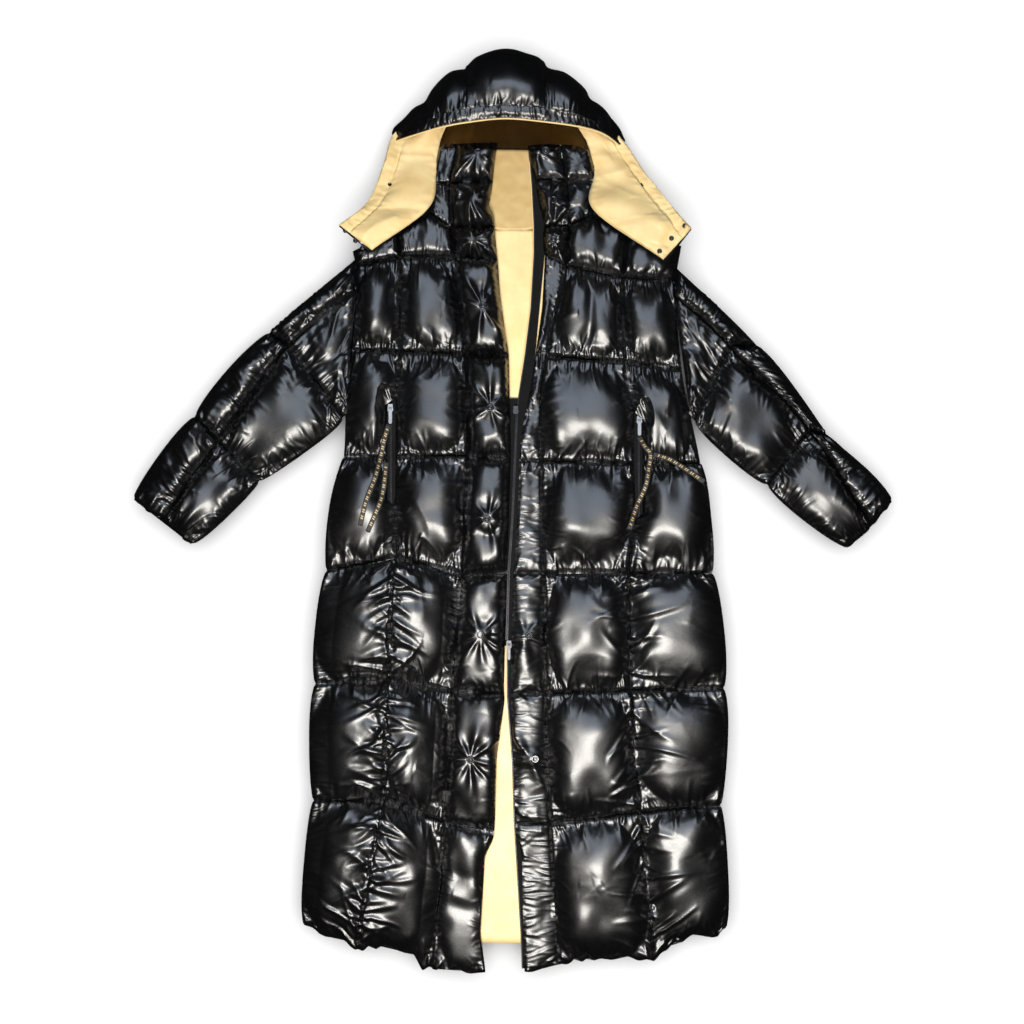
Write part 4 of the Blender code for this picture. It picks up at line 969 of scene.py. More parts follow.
hoodPatterns = {}
net = takeRows(hoodBack, hoodBackColumns, hoodBackColumns, "top", "neck")
hoodPatterns["hood_back"] = addPattern("hood_back", net, hoodRecipe, way=-1, seed=32)
for side, table, seed in (("right", rightWing, 33), ("left", leftWing, 34)):
    net = takeRows(table, wingColumns, wingColumns, "top", "tip")
    hoodPatterns["hood_side_" + side] = addPattern("hood_side_" + side, net,
                                                   dict(hoodRecipe, rise=14.0, loft=20.0), way=-1,
                                                   round3d=True, seed=seed)
for number, (side, wanted) in enumerate(crownParts.items()):
    net = takeRows(crown, crownColumns, wanted, "back", "channel")
    net["rows"] = freeInside(net["rows"])
    net["columns"] = freeInside(net["columns"])
    hoodPatterns["crown_" + side] = addPattern("crown_" + side, net, crownRecipe, round3d=True,
                                               seed=35 + number)
net = takeRows(crown, crownColumns, crownColumns, "channel", "brim")
net["columns"] = freeInside(net["columns"])
hoodPatterns["hood_brim"] = addPattern("hood_brim", net, brimRecipe, round3d=True, seed=38)


# the wings' linings, with the drawcord channel beside the outer edge
def wingLiningNet(table, outerFirst):
    net = takeRows(table, wingColumns, wingColumns, "crownSide", "tip")
    points = net["points"]
    outer, inner = (points[:, 0], points[:, 1]) if outerFirst else (points[:, 1], points[:, 0])
    width = norm(inner - outer, axis=1)[:, None]
    towards = (inner - outer) / width
    inner = inner + towards * np.array([10.0, 10.0, 10.0, 6.0, 0.0])[:, None]    # under the collar
    lines = [outer - towards * 1.0, outer + towards * np.minimum(20.0, width * 0.35),
             inner - towards * 2.0]
    if not outerFirst:
        lines = lines[::-1]
    net["points"] = np.stack(lines, axis=1)
    net["points"][:, :, 2] += np.array([30.0, 24.0, 10.0, 3.6, 3.4])[:, None]    # thick beside the head
    net["points"][0, :, :2] += (net["points"][1, :, :2] - net["points"][0, :, :2]) * 0.06
    net["points"][-1, :, :2] += (net["points"][-2, :, :2] - net["points"][-1, :, :2]) * 0.04
    net["columns"] = ["outer", "channelSeam", "inner"] if outerFirst else ["inner", "channelSeam", "outer"]
    net["rows"] = freeInside(net["rows"])
    return net


liningPatterns = {
    "hood_lining_right": addPattern("hood_lining_right", wingLiningNet(rightWing, True), wingRecipe,
                                    round3d=True, seed=41),
    "hood_lining_left": addPattern("hood_lining_left", wingLiningNet(leftWing, False), wingRecipe,
                                   round3d=True, seed=42)}
print("patterns:", len(patterns), "with", sum(p["held"].size for p in patterns), "points")
blowUp()
for pattern in patterns:
    refine(pattern)
print("patterns blown up")


# padded pieces
def addMesh(name, vertices, faces, material, smooth=True, body="coat"):
    mesh = bpy.data.meshes.new(name)
    mesh.from_pydata((np.array(vertices, float) * mm).tolist(), [], faces)
    helper = bmesh.new()
    helper.from_mesh(mesh)
    bmesh.ops.recalc_face_normals(helper, faces=helper.faces)
    helper.to_mesh(mesh)
    helper.free()
    if smooth:
        mesh.shade_smooth()
    mesh.materials.append(material)
    item = bpy.data.objects.new(name, mesh)
    scene.collection.objects.link(item)
    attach(item, body)
    return item


def closePanel(surface, wall, tuck):
    # the blown-up face, low walls round it that tuck under the neighbours, and an underside in strips
    rowCount, columnCount = surface.shape[:2]
    lift = np.array(wall, float)
    if lift.ndim == 1:
        lift = np.broadcast_to(lift, (rowCount, 2, 3))
    feet = []
    for side, inner, amount in ((0, 3, tuck[0]), (-1, -4, tuck[1])):
        out = surface[:, side] - surface[:, inner]
        out[:, 2] = 0
        out /= np.maximum(norm(out, axis=1)[:, None], 1e-6)
        feet.append(surface[:, side] + lift[:, side] + out * amount)
    for foot in feet:
        for end, inner, amount in ((0, 3, tuck[2]), (-1, -4, tuck[3])):
            out = foot[end] - foot[inner]
            out[2] = 0
            if amount >= 0:
                foot[end] = foot[end] + out / max(norm(out), 1e-6) * amount
                continue
            # the underside stops short of a wavy hem
            past = norm(foot - foot[end], axis=1) < -amount
            stop = int(np.argmax(past)) - 1
            foot[past] = foot[stop] + (foot[end] - foot[stop]) * np.linspace(0.002, 0.02, past.sum())[:, None]
    vertices = np.concatenate((surface.reshape(-1, 3), *feet))
    top = rowCount * columnCount
    faces = gridFaces(rowCount, columnCount)
    for i in range(rowCount - 1):
        a, b = i * columnCount, (i + 1) * columnCount
        faces.append((b, a, top + i, top + i + 1))
        a, b = a + columnCount - 1, b + columnCount - 1
        faces.append((a, b, top + rowCount + i + 1, top + rowCount + i))
        faces.append((top + i, top + rowCount + i, top + rowCount + i + 1, top + i + 1))
    # the ends are fans of triangles, so that bent borders close cleanly
    for row, first, second in ((0, top, top + rowCount),
                               (rowCount - 1, top + rowCount - 1, top + 2 * rowCount - 1)):
        start = row * columnCount
        half = columnCount // 2
        for j in range(columnCount - 1):
            faces.append((start + j, start + j + 1, first if j < half else second))
        faces.append((start + half, second, first))
    return vertices, faces


def closeCurved(surface, inner):
    # for arched pieces the inner face follows the stitch lines
    rowCount, columnCount = surface.shape[:2]
    count = rowCount * columnCount
    vertices = np.concatenate((surface.reshape(-1, 3), inner.reshape(-1, 3)))
    faces = gridFaces(rowCount, columnCount)
    faces += [[k + count for k in face[::-1]] for face in faces]
    places = np.arange(count).reshape(rowCount, columnCount)
    border = np.concatenate((places[0], places[1:, -1], places[-1, -2::-1], places[-2:0:-1, 0])).tolist()
    for a, b in zip(border, border[1:] + border[:1]):
        faces.append((a, b, b + count, a + count))
    return vertices, faces


def drawIn(surface, amount):
    # the border steps back by the width of the stitched gap
    surface = surface.copy()
    for axis in (1, 0):
        lines = np.swapaxes(surface, 0, axis)
        for side, inner in ((0, 2), (-1, -3)):
            step = lines[inner] - lines[side]
            length = np.maximum(norm(step, axis=1)[:, None], 1e-6)
            lines[side] += step * np.minimum(amount / length, 0.5)
    return surface


def sharpenSeams(item, shape, rows, columns):
    # the two sides of a quilted line meet in a crease
    mesh = item.data
    rowCount, columnCount = shape[:2]
    ends = np.zeros(len(mesh.edges) * 2, np.int32)
    mesh.edges.foreach_get("vertices", ends)
    ends = np.sort(ends.reshape(-1, 2), axis=1)
    row, column, step = ends[:, 0] // columnCount, ends[:, 0] % columnCount, ends[:, 1] - ends[:, 0]
    along = np.isin(row, [0, rowCount - 1, *rows]) & (step == 1) & (column < columnCount - 1)
    across = np.isin(column, [0, columnCount - 1, *columns]) & (step == columnCount)
    mesh.edges.foreach_set("use_edge_sharp", (along | across) & (ends[:, 1] < rowCount * columnCount))


usualTuck = (3.0, 3.0, 3.0, 3.0)


def addPadded(name, surface, node, wall=(0, 0, -3.5), tuck=usualTuck, inner=None, rows=(),
              columns=(), low=0.0):
    surface = drawIn(surface, seamGap / 2)
    surface[:, :, 2] = np.maximum(surface[:, :, 2], low)
    vertices, faces = closePanel(surface, wall, tuck) if inner is None else closeCurved(surface, inner)
    item = addMesh(name, vertices, faces, shellBlack)
    sharpenSeams(item, surface.shape, rows, columns)
    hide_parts(node)


def splitAt(pattern, column):
    mark = pattern["columnMarks"][pattern["columns"].index(column)]
    return pattern["surface"][:, :mark + 1].copy(), pattern["surface"][:, mark:].copy()


pocketSettings = {"tape": 14.2, "reach": 55.0, "ramp": 10.0, "pullHalf": 4.5, "pullLength": 26.0,
                  "pullLow": 45.9, "pullSlope": 0.26}


def openPocket(surface, sign, top, bottom, hinge):
    # the side panel steps aside for the pocket zip
    edge, ramp = surface[:, -1] if sign < 0 else surface[:, 0], pocketSettings["ramp"]
    opened = np.interp(edge[:, 1], (bottom, bottom + ramp, top - ramp, top), (0, 1, 1, 0))
    distance = np.abs(surface[:, :, 0] - edge[:, None, 0])
    share = np.clip(1 - distance / pocketSettings["reach"], 0, 1) ** 1.5
    surface[:, :, 0] += sign * pocketSettings["tape"] * opened[:, None] * share
    # above the slider it leaves room for the pull that is turned up
    aside = np.maximum(np.abs(surface[:, :, 0] - hinge[0]) - pocketSettings["pullHalf"], 0)
    past = surface[:, :, 1] - hinge[1]
    under = np.clip(past, 0, pocketSettings["pullLength"])
    gap = np.hypot(aside, past - under)
    ripple = 0.6 * np.sin(0.7 * surface[:, :, 0] + 0.3 * surface[:, :, 1])
    limit = pocketSettings["pullLow"] + pocketSettings["pullSlope"] * under + ripple + 0.05 * gap ** 2
    surface[:, :, 2] = np.minimum(surface[:, :, 2], limit)


# the free edges of the plackets, from the collar to the hem
flapEdge = ((-22, 590), (-26, 570), (-29, 546), (-32, 510), (-40, 488), (-29, 474), (-26, 434), (-22, 395),
            (-19, 349), (-10, 283), (-5, 254), (-3, 152), (-2, 88), (-8, -96), (-11, -202), (-13, -288),
            (-11, -296), (-24, -389), (-27, -494), (-29, -522), (-43, -549), (-50, -674), (-42, -736))
bandEdge = ((53, 413), (48, 326), (38, 254), (26, 180), (14, 120), (12, 82), (9, -11), (3, -96), (-1, -205),
            (-2, -296), (3, -397), (5, -494), (8, -522), (16, -549), (18, -674), (20, -736))
bandHeights = ((413, 43.0), (180, 43.5), (150, 46.5), (-736, 46.5))


def moveEdge(surface, side, edge, heights=()):
    # the whole width follows the free edge, less and less towards the seam
    line, ys = surface[:, side], np.array([p[1] for p in edge], float)
    wanted = np.interp(line[:, 1], ys[::-1], np.array([p[0] for p in edge], float)[::-1])
    smooth = np.convolve(np.pad(wanted - line[:, 0], 5, mode="edge"), np.ones(11) / 11, mode="valid")
    distance = np.abs(surface[:, :, 0] - line[:, None, 0])
    width = np.abs(surface[:, -1, 0] - surface[:, 0, 0])[:, None]
    share = np.clip(1 - distance / width, 0, 1)
    surface[:, :, 0] += smooth[:, None] * share
    if heights:
        levels = np.interp(line[:, 1], [p[0] for p in heights][::-1], [p[1] for p in heights][::-1])
        surface[:, :, 2] += (levels - frontLevel)[:, None] * share ** 2


# the gathered hem rises and falls between its seams
rightHem = ((-333, -659), (-309, -675), (-272, -682), (-250, -702), (-222, -696), (-195, -696), (-158, -710),
            (-144, -730), (-98, -731), (-43, -738))
leftHem = ((16, -738), (45, -733), (104, -717), (187, -714), (227, -718), (251, -696), (288, -678),
           (330, -680), (342, -664))
backHemLine = ((-333, -654), (-309, -664), (-272, -672), (-208, -684), (-100, -690), (0, -690), (100, -692),
               (187, -702), (222, -700), (251, -682), (288, -666), (342, -656))


def dropHem(surface, outline, ripple=3.0, reach=85.0):
    xs, ys = np.array(outline, float).T
    line = surface[-1]
    x, y = line[:, 0], line[:, 1]
    wave = np.sin(x / 4.6 + 2 * np.sin(x / 19.0)) * (0.65 + 0.35 * np.sin(x / 13.0))
    drop = np.interp(x, xs, ys) + ripple * wave - y
    above = norm(surface[:, :, :2] - line[None, :, :2], axis=2)
    surface[:, :, 1] += drop[None, :] * np.clip(1 - above / reach, 0, 1) ** 2


def waveEdge(surface, end, amount, seed, reach=22.0):
    # the filled edge of a collar or cuff is never quite straight
    dice = np.random.default_rng(seed)
    inner = 6 if end == 0 else -7
    out = surface[end] - surface[inner]
    out[:, 2] = 0
    out /= np.maximum(norm(out, axis=1)[:, None], 1e-6)
    count = surface.shape[1]
    wave = smoothAlong(dice.normal(0, 1, 9), np.linspace(0, 8, count)) * amount
    wave -= amount * 1.5 * np.abs(np.linspace(-1, 1, count)) ** 6      # the corners are rounded off
    near = norm(surface[:, :, :2] - surface[end][None, :, :2], axis=2)
    surface += out[None] * wave[None, :, None] * (np.clip(1 - near / reach, 0, 1) ** 2)[:, :, None]


collarEdge = ((28, 592), (30, 560), (38, 535), (44, 505), (50, 470), (53, 454))
moveEdge(collarLeft["surface"], 0, collarEdge, ((592, 45.0), (500, 44.5), (454, 43.0)))
for number, pattern in enumerate((collarRight, collarLeft)):
    waveEdge(pattern["surface"], 0, 2.2, 61 + number)
for number, pattern in enumerate(sleevePatterns.values()):
    if pattern["way"] > 0:
        waveEdge(pattern["surface"], -1, 2.0, 71 + number)
for pattern, outline in ((bodyRight, rightHem), (bodyLeft, leftHem), (placketRight, rightHem),
                         (placketLeft, leftHem)):
    dropHem(pattern["surface"], outline)
dropHem(backPattern["surface"], backHemLine, ripple=0.0)


def gridTree(grids):
    vertices, faces = [], []
    for grid in grids:
        faces += gridFaces(*grid.shape[:2], len(vertices))
        vertices += [Vector(p) for p in grid.reshape(-1, 3)]
    return BVHTree.FromPolygons(vertices, faces)


def keepUnder(surface, tree, gap=2.0):
    # the wings of the hood press down what they lie on
    for point in surface.reshape(-1, 3):
        if point[1] > 330 and point[2] > 30:
            hit = tree.ray_cast(Vector((point[0], point[1], -10.0)), Vector((0, 0, 1)))[0]
            if hit and hit.z > 44:
                point[2] = min(point[2], max(hit.z - gap, 30.0))


wingUnderside = gridTree([hoodPatterns["hood_side_" + side]["surface"] for side in ("right", "left")])
for pattern in (shoulderRight, shoulderLeft, bodyRight, bodyLeft, collarRight, collarLeft,
                sleevePatterns["sleeve_upper_right"], sleevePatterns["sleeve_upper_left"]):
    keepUnder(pattern["surface"], wingUnderside)
frontSettings = {"side": "side_panel_", "centre": "front_panel_", "low": 38.9, "hemTuck": -18.0}
for side, pattern, parts, outer, pocket in (
        ("right", bodyRight, ("side", "centre"), (0.5, 3.0), (-1, 179.0, 10.0, (-194.4, 166.0))),
        ("left", bodyLeft, ("centre", "side"), (3.0, 0.5), (1, 158.0, -11.0, (203.6, 147.0)))):
    pattern["pieces"] = splitAt(pattern, "princess")
    openPocket(pattern["pieces"][parts.index("side")], *pocket)
    for part, surface in zip(parts, pattern["pieces"]):
        edges = outer if part == "side" else (3.0, 3.0)
        addPadded(frontSettings[part] + side, surface, "front_%s_%s" % (part, side),
                  tuck=(*edges, 3.0, frontSettings["hemTuck"]), rows=pattern["stitchedRows"],
                  low=frontSettings["low"])
moveEdge(placketRight["surface"], -1, flapEdge)
moveEdge(placketLeft["surface"], 0, bandEdge, bandHeights)
for name, pattern, tuck in (("placket_flap_right", placketRight, (3.0, 0.0, 0.0, 0.0)),
                            ("placket_band_left", placketLeft, (0.0, 3.0, 3.0, 0.0)),
                            ("yoke_right", shoulderRight, usualTuck),
                            ("yoke_left", shoulderLeft, usualTuck),
                            ("collar_front_right", collarRight, usualTuck),
                            ("collar_front_left", collarLeft, usualTuck)):
    addPadded(name, pattern["surface"], pattern["name"], tuck=tuck, rows=pattern["stitchedRows"],
              columns=pattern["stitchedColumns"])
for name, pattern in sleevePatterns.items():
    under = "back" in name
    addPadded(name.replace("sleeve_", "sleeve_panel_"), pattern["surface"], name,
              wall=(0, 0, 1.0) if under else (0, 0, -2.5),
              tuck=(0.5, 0.5, 4.0, 0.0) if under else (1.5, 1.5, 4.0, 0.0), rows=pattern["stitchedRows"])
addPadded("back_panel", backPattern["surface"], "back", wall=(0, 0, 0.3),
          tuck=(0.5, 0.5, 0.0, 0.0))
addPadded("collar_rear", collarRear["surface"], "collar_back", wall=(0, 0, 3.0),
          tuck=(0.0, 0.0, 0.0, 0.0))
for name, pattern in hoodPatterns.items():
    wing = "side" in name
    inner = pattern["grid"] - pattern["normals"] * 2.5 if pattern["way"] > 0 else None    # the arched ones
    addPadded(name + "_panel", pattern["surface"], name, wall=(0, 0, 0.4 if wing else 2.5),
              tuck=(0.0, 0.0, 0.0, 0.0) if wing else (1.0, 1.0, 1.0, 1.0), inner=inner)
print("padded pieces made")


# linings
liningThickness = 1.1


def cutSize(surface):
    # width and length of the flat cloth, and its area
    width = norm(np.diff(surface, axis=1), axis=2).sum(axis=1).max() * mm
    length = norm(np.diff(surface, axis=0), axis=2).sum(axis=0).max() * mm
    low, high = surface[1:, :-1], surface[:-1, 1:]
    a = np.cross(low - surface[:-1, :-1], high - surface[:-1, :-1])
    b = np.cross(low - surface[1:, 1:], high - surface[1:, 1:])
    area = float((norm(a, axis=2) + norm(b, axis=2)).sum() / 2) * mm * mm
    return float(width), float(length), min(area, float(width * length))


def addLining(name, surface, node, normals=(0.0, 0.0, 1.0)):
    vertices, faces = closeCurved(surface, surface - np.array(normals) * liningThickness)
    item = addMesh(name, vertices, faces, liningTan)
    width, length, area = cutSize(surface)
    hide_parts(node)


def softWaves(surface, amount, scale, seed):
    # long shallow folds of a cloth that lies loose
    dice = np.random.default_rng(seed)
    total = np.zeros(surface.shape[:2])
    for k in range(7):
        direction = dice.uniform(0, math.pi)
        length = scale * dice.uniform(0.6, 1.8)
        phase = dice.uniform(0, 6.28)
        along = surface[:, :, 0] * math.cos(direction) + surface[:, :, 1] * math.sin(direction)
        bend = 12 * np.sin(surface[:, :, 1] / 90 + k)
        total += np.sin((along + bend) * 2 * math.pi / length + phase) ** 3
    return total * amount / 4


def fineNet(points, spacing):
    rowPlaces, columnPlaces = (divide(spans, spacing)[0] for spans in meanSpans(points))
    return smoothGrid(points, rowPlaces, columnPlaces)


inner = wholeBack["points"][:, [0, 2, 4]].copy()
inner[:, :, 2] = liningLevel
inner[0, :, :2] = liningNeck
inner[1, [0, 2], :2] = liningYoke
inner[:, 0, 0] += 33.0
inner[:, 2, 0] -= 33.0
surface = fineNet(inner, 9.0)
surface[:, :, 2] += np.minimum(np.abs(softWaves(surface, 1.2, 90.0, 51)), 0.9)
addLining("back_lining_cloth", surface, "back_lining")

points = collarBackNet["points"].copy()
points[:, :, 2] = liningLevel
points[:, 0, 0] += 3.0
points[:, -1, 0] -= 3.0
points[0, :, 1] -= 3.0
points[-1, :, 1] -= 5.0
surface = fineNet(points, 4.0)
surface[:, :, 2] += np.abs(softWaves(surface, 1.6, 38.0, 52))
addLining("collar_lining_cloth", surface, "collar_lining")

points = takeRows(hoodBack, hoodBackColumns, hoodBackColumns, "upper", "corner")["points"]
points[-1, :, 1] -= 15.0
points[:, 0, 0] += 2.0
points[:, -1, 0] -= 2.0
points[:, :, 2] = np.array([13.0, 15.0, 27.0])[:, None]    # it falls away under the crown
surface = fineNet(points, 4.0)
surface[:, :, 2] += np.abs(softWaves(surface, 5.0, 45.0, 53))
addLining("hood_lining_rear", surface, "hood_lining_back")

for side in ("right", "left"):
    pattern = liningPatterns["hood_lining_" + side]
    addLining("wing_lining_" + side, pattern["surface"], "hood_lining_" + side,
              pattern["normals"])

points = takeRows(crown, crownColumns, crownColumns[1:-1], "top", "brim")["points"]
surface = fineNet(points, 5.0)
normals = awayFrom(surface)
surface = surface - normals * (6.5 - softWaves(surface, 0.8, 40.0, 54)[:, :, None])
addLining("crown_lining_cloth", surface, "crown_lining", normals)
print("linings made")


# trees of the finished cloth, for what lies on it
def clothTree(names):
    graph = bpy.context.evaluated_depsgraph_get()
    vertices, faces = [], []
    for name in names:
        item = scene.objects[name].evaluated_get(graph)
        start = len(vertices)
        vertices += [v.co / mm for v in item.data.vertices]
        faces += [tuple(start + k for k in face.vertices) for face in item.data.polygons]
    return BVHTree.FromPolygons(vertices, faces)


def heightAt(tree, x, y, fallback=0.0):
    hit = tree.ray_cast(Vector((x, y, 400.0)), Vector((0, 0, -1)))[0]
    return hit.z if hit else fallback


bpy.context.view_layer.update()

# stitching
stitchSettings = {"length": 3.2, "gap": 1.8, "width": 0.5, "height": 0.35, "lift": 0.15}


def evenRoute(points, spacing):
    points = np.array(points, float)
    lengths = np.concatenate(([0], np.cumsum(norm(np.diff(points, axis=0), axis=1))))
    count = max(2, int(lengths[-1] / spacing))
    where = np.linspace(0, lengths[-1], count + 1)
    return np.stack([np.interp(where, lengths, points[:, k]) for k in range(3)], axis=1)


def addStitches(name, lines, settings):
    # short rounded threads along each line
    vertices, faces = [], []
    step = settings["length"] + settings["gap"]
    ring = [(math.cos(t), math.sin(t)) for t in (math.pi * k / 3 for k in range(6))]
    for line in lines:
        route = evenRoute(line, step)
        for a, b in zip(route, route[1:]):
            direction = b - a
            length = norm(direction)
            if length < 1e-6:
                continue
            direction /= length
            aside = np.cross((0.0, 0.0, 1.0), direction)
            aside /= max(norm(aside), 1e-6)
            above = np.cross(direction, aside)
            faces += ringFaces(len(vertices), 4, 6)
            for share, size in ((0.16, 0.35), (0.32, 1.0), (0.68, 1.0), (0.84, 0.35)):
                centre = a + (b - a) * share + above * settings["lift"] * min(1.0, size + 0.2)
                for c, s in ring:
                    vertices.append(centre + aside * c * settings["width"] / 2 * size
                                    + above * s * settings["height"] / 2 * size)
    addMesh(name, vertices, faces, threadGrey)


def rowLines(surface, pattern):
    return [surface[row, 1:-1] for row in pattern["stitchedRows"][1:-1]]


lines = []
for pattern in (bodyRight, bodyLeft):
    for piece in pattern["pieces"]:
        lines += rowLines(piece, pattern)
    lines.append(pattern["surface"][:, pattern["columnMarks"][1]])
for pattern in (placketRight, placketLeft, collarRight, collarLeft, *sleevePatterns.values()):
    if pattern["way"] > 0:
        lines += rowLines(pattern["surface"], pattern)
addStitches("quilt_stitching", lines, stitchSettings)
print("stitching made")


# zips
zipSettings = {"tooth": (2.6, 1.35, 2.0), "pitch": 2.5, "offset": 1.15, "pocketTooth": (2.0, 0.9, 1.2),
               "pocketPitch": 1.1, "pocketOffset": 0.8}
tapeTop = frontLevel - 2.0 + seamGap + 1.2
chainLow = tapeTop + seamGap


def zipAt(y):
    ys = [p[1] for p in zipLine][::-1]
    xs = [p[0] for p in zipLine][::-1]
    return float(np.interp(y, ys, xs))


def addTeeth(name, places, tooth, low, node=None):
    # one moulded tooth at each place: (x, y, side)
    vertices, faces = [], []
    width, depth, height = tooth
    outline = ((-0.5, -0.5), (0.15, -0.5), (0.5, -0.28), (0.5, 0.28), (0.15, 0.5), (-0.5, 0.5))
    for x, y, side in places:
        faces += ringFaces(len(vertices), 3, len(outline))
        vertices += [(x + side * a * width * size, y + b * depth * size, low + level * height)
                     for level, size in ((0.0, 1.0), (0.7, 1.0), (1.0, 0.7)) for a, b in outline]
    item = addMesh(name, vertices, faces, steelDark, smooth=False)
    if node:
        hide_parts(node)


closed = []
for k, y in enumerate(np.arange(158.0, -205.0, -zipSettings["pitch"] / 2)):
    side = 1 if k % 2 else -1
    closed.append((zipAt(y) - seamGap - side * zipSettings["offset"], float(y), side))
addTeeth("zip_teeth_closed", closed, zipSettings["tooth"], chainLow, "zip_chain")
opened = [(zipAt(y) + 0.6, float(y), -1) for start, end in ((575.0, 172.0), (-222.0, -728.0))
          for y in np.arange(start, end, -zipSettings["pitch"])]
addTeeth("zip_teeth_open", opened, zipSettings["tooth"], tapeTop - 0.2)
pocketTeeth = []
for x, top, bottom in ((-193.7, 157.0, 12.0), (202.7, 138.0, -9.0)):
    for k, y in enumerate(np.arange(top, bottom, -zipSettings["pocketPitch"])):
        turn = 1 if k % 2 else -1
        pocketTeeth.append((x - turn * zipSettings["pocketOffset"], float(y), turn))
addTeeth("pocket_zip_teeth", pocketTeeth, zipSettings["pocketTooth"], tapeTop)
for name in ("zip_tape_left", "zip_tape_right", "pocket_tape_right", "pocket_tape_left"):
    node = frame["nodes"][name]
    node.data.materials.clear()
    node.data.materials.append(tapeBlack)
for name, node in frame["nodes"].items():
    if "slider" in name or "pull" in name:
        node.data.materials.clear()
        node.data.materials.append(steelBright if "pocket" in name else steelDark)
        bevel = node.modifiers.new("bevel", "BEVEL")
        bevel.width = 0.35 * mm
        bevel.segments = 2
        bevel.limit_method = "ANGLE"


# snaps
snapProfile = ((0.0, 1.7), (1.9, 1.7), (2.4, 1.3), (3.1, 1.3), (3.7, 2.1), (4.6, 2.6), (5.6, 2.4),
               (6.3, 1.6), (6.5, 0.8), (6.1, 0.0), (0.0, 0.0))


def lathe(profile, segments, scale=1.0):
    vertices, faces, rings = [], [], []
    turns = [2 * math.pi * k / segments for k in range(segments)]
    for radius, level in profile:
        start = len(vertices)
        for turn in turns if radius else (0.0,):
            vertices.append((radius * scale * math.cos(turn), radius * scale * math.sin(turn), level * scale))
        rings.append(list(range(start, len(vertices))))
    for lower, upper in zip(rings, rings[1:]):
        for k in range(segments):
            n = (k + 1) % segments
            if len(lower) == 1:
                faces.append((lower[0], upper[k], upper[n]))
            elif len(upper) == 1:
                faces.append((lower[k], upper[0], lower[n]))
            else:
                faces.append((lower[k], upper[k], upper[n], lower[n]))
    return np.array(vertices), faces


def addSnap(name, place, material, node=None, scale=1.0, tilt=(0.0, 0.0)):
    vertices, faces = lathe(snapProfile, 24, scale)
    vertices[:, 2] += vertices[:, 0] * tilt[0] + vertices[:, 1] * tilt[1]
    item = addMesh(name, vertices + np.array(place), faces, material)
    if node:
        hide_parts(node)


for side, tufts in (("right", rightTufts), ("left", leftTufts)):
    for number, (x, y, z) in enumerate(tufts, 1):
        # one cap on the band gets the bright steel as a painted reflection, where it caught the light; the
        # other caps are gunmetal
        paintedGlintCap = side == "left" and number == 5
        addSnap("snap_cap_%s_%d" % (side, number), (x, y, z + 0.2),
                steelBright if paintedGlintCap else steelDark, "snap_%s_%d" % (side, number))
wingTree = clothTree(["wing_lining_right", "wing_lining_left"])
for side, places in (("right", ((-264, 446), (-248, 430), (-237, 419))),
                     ("left", ((273.6, 453), (252.8, 433.6), (233.6, 412.8)))):
    for number, (x, y) in enumerate(places, 1):
        z = heightAt(wingTree, x, y, 88.0)
        addSnap("wing_snap_%s_%d" % (side, number), (x, y, z - 0.3), steelDark, scale=0.62)
for side, (x, y) in (("right", (-195.0, 523.0)), ("left", (208.0, 523.0))):
    z = heightAt(wingTree, x, y, 45.0)
    addSnap("wing_eyelet_" + side, (x, y, z - 0.4), steelDark, scale=0.5, tilt=(0.0, -0.5))
print("hardware made")

# pocket ribbons
ribbonSettings = {"width": 8.0, "thickness": 0.8, "lift": 0.5, "step": 3.5, "dashTop": 0.28,
                  "dashFoot": -0.06}
ribbonRoutes = {
    "right_long": ((-197, 140), (-204, 116), (-208, 96), (-217, 58), (-232, 18), (-242, -22)),
    "right_short": ((-201, 80), (-203, 54), (-208, 22), (-218, -4), (-230, -32)),
    "left_long": ((203, 121), (212, 105), (221, 92), (218, 66), (213, 40), (199, 8), (187, -28)),
    "left_short": ((225.8, 92), (238, 89), (256, 82), (284, 64), (307, 48)),
}
panelTree = clothTree(["side_panel_right", "side_panel_left", "front_panel_left", "front_panel_right"])


def ribbonRoute(points, spacing):
    route = np.array(points, float)
    dense = smoothAlong(route, np.linspace(0, len(route) - 1, 12 * len(route)))
    lengths = np.concatenate(([0], np.cumsum(norm(np.diff(dense, axis=0), axis=1))))
    where = np.linspace(0, lengths[-1], max(6, round(lengths[-1] / spacing)) + 1)
    return np.stack([np.interp(where, lengths, dense[:, k]) for k in range(2)], axis=1)


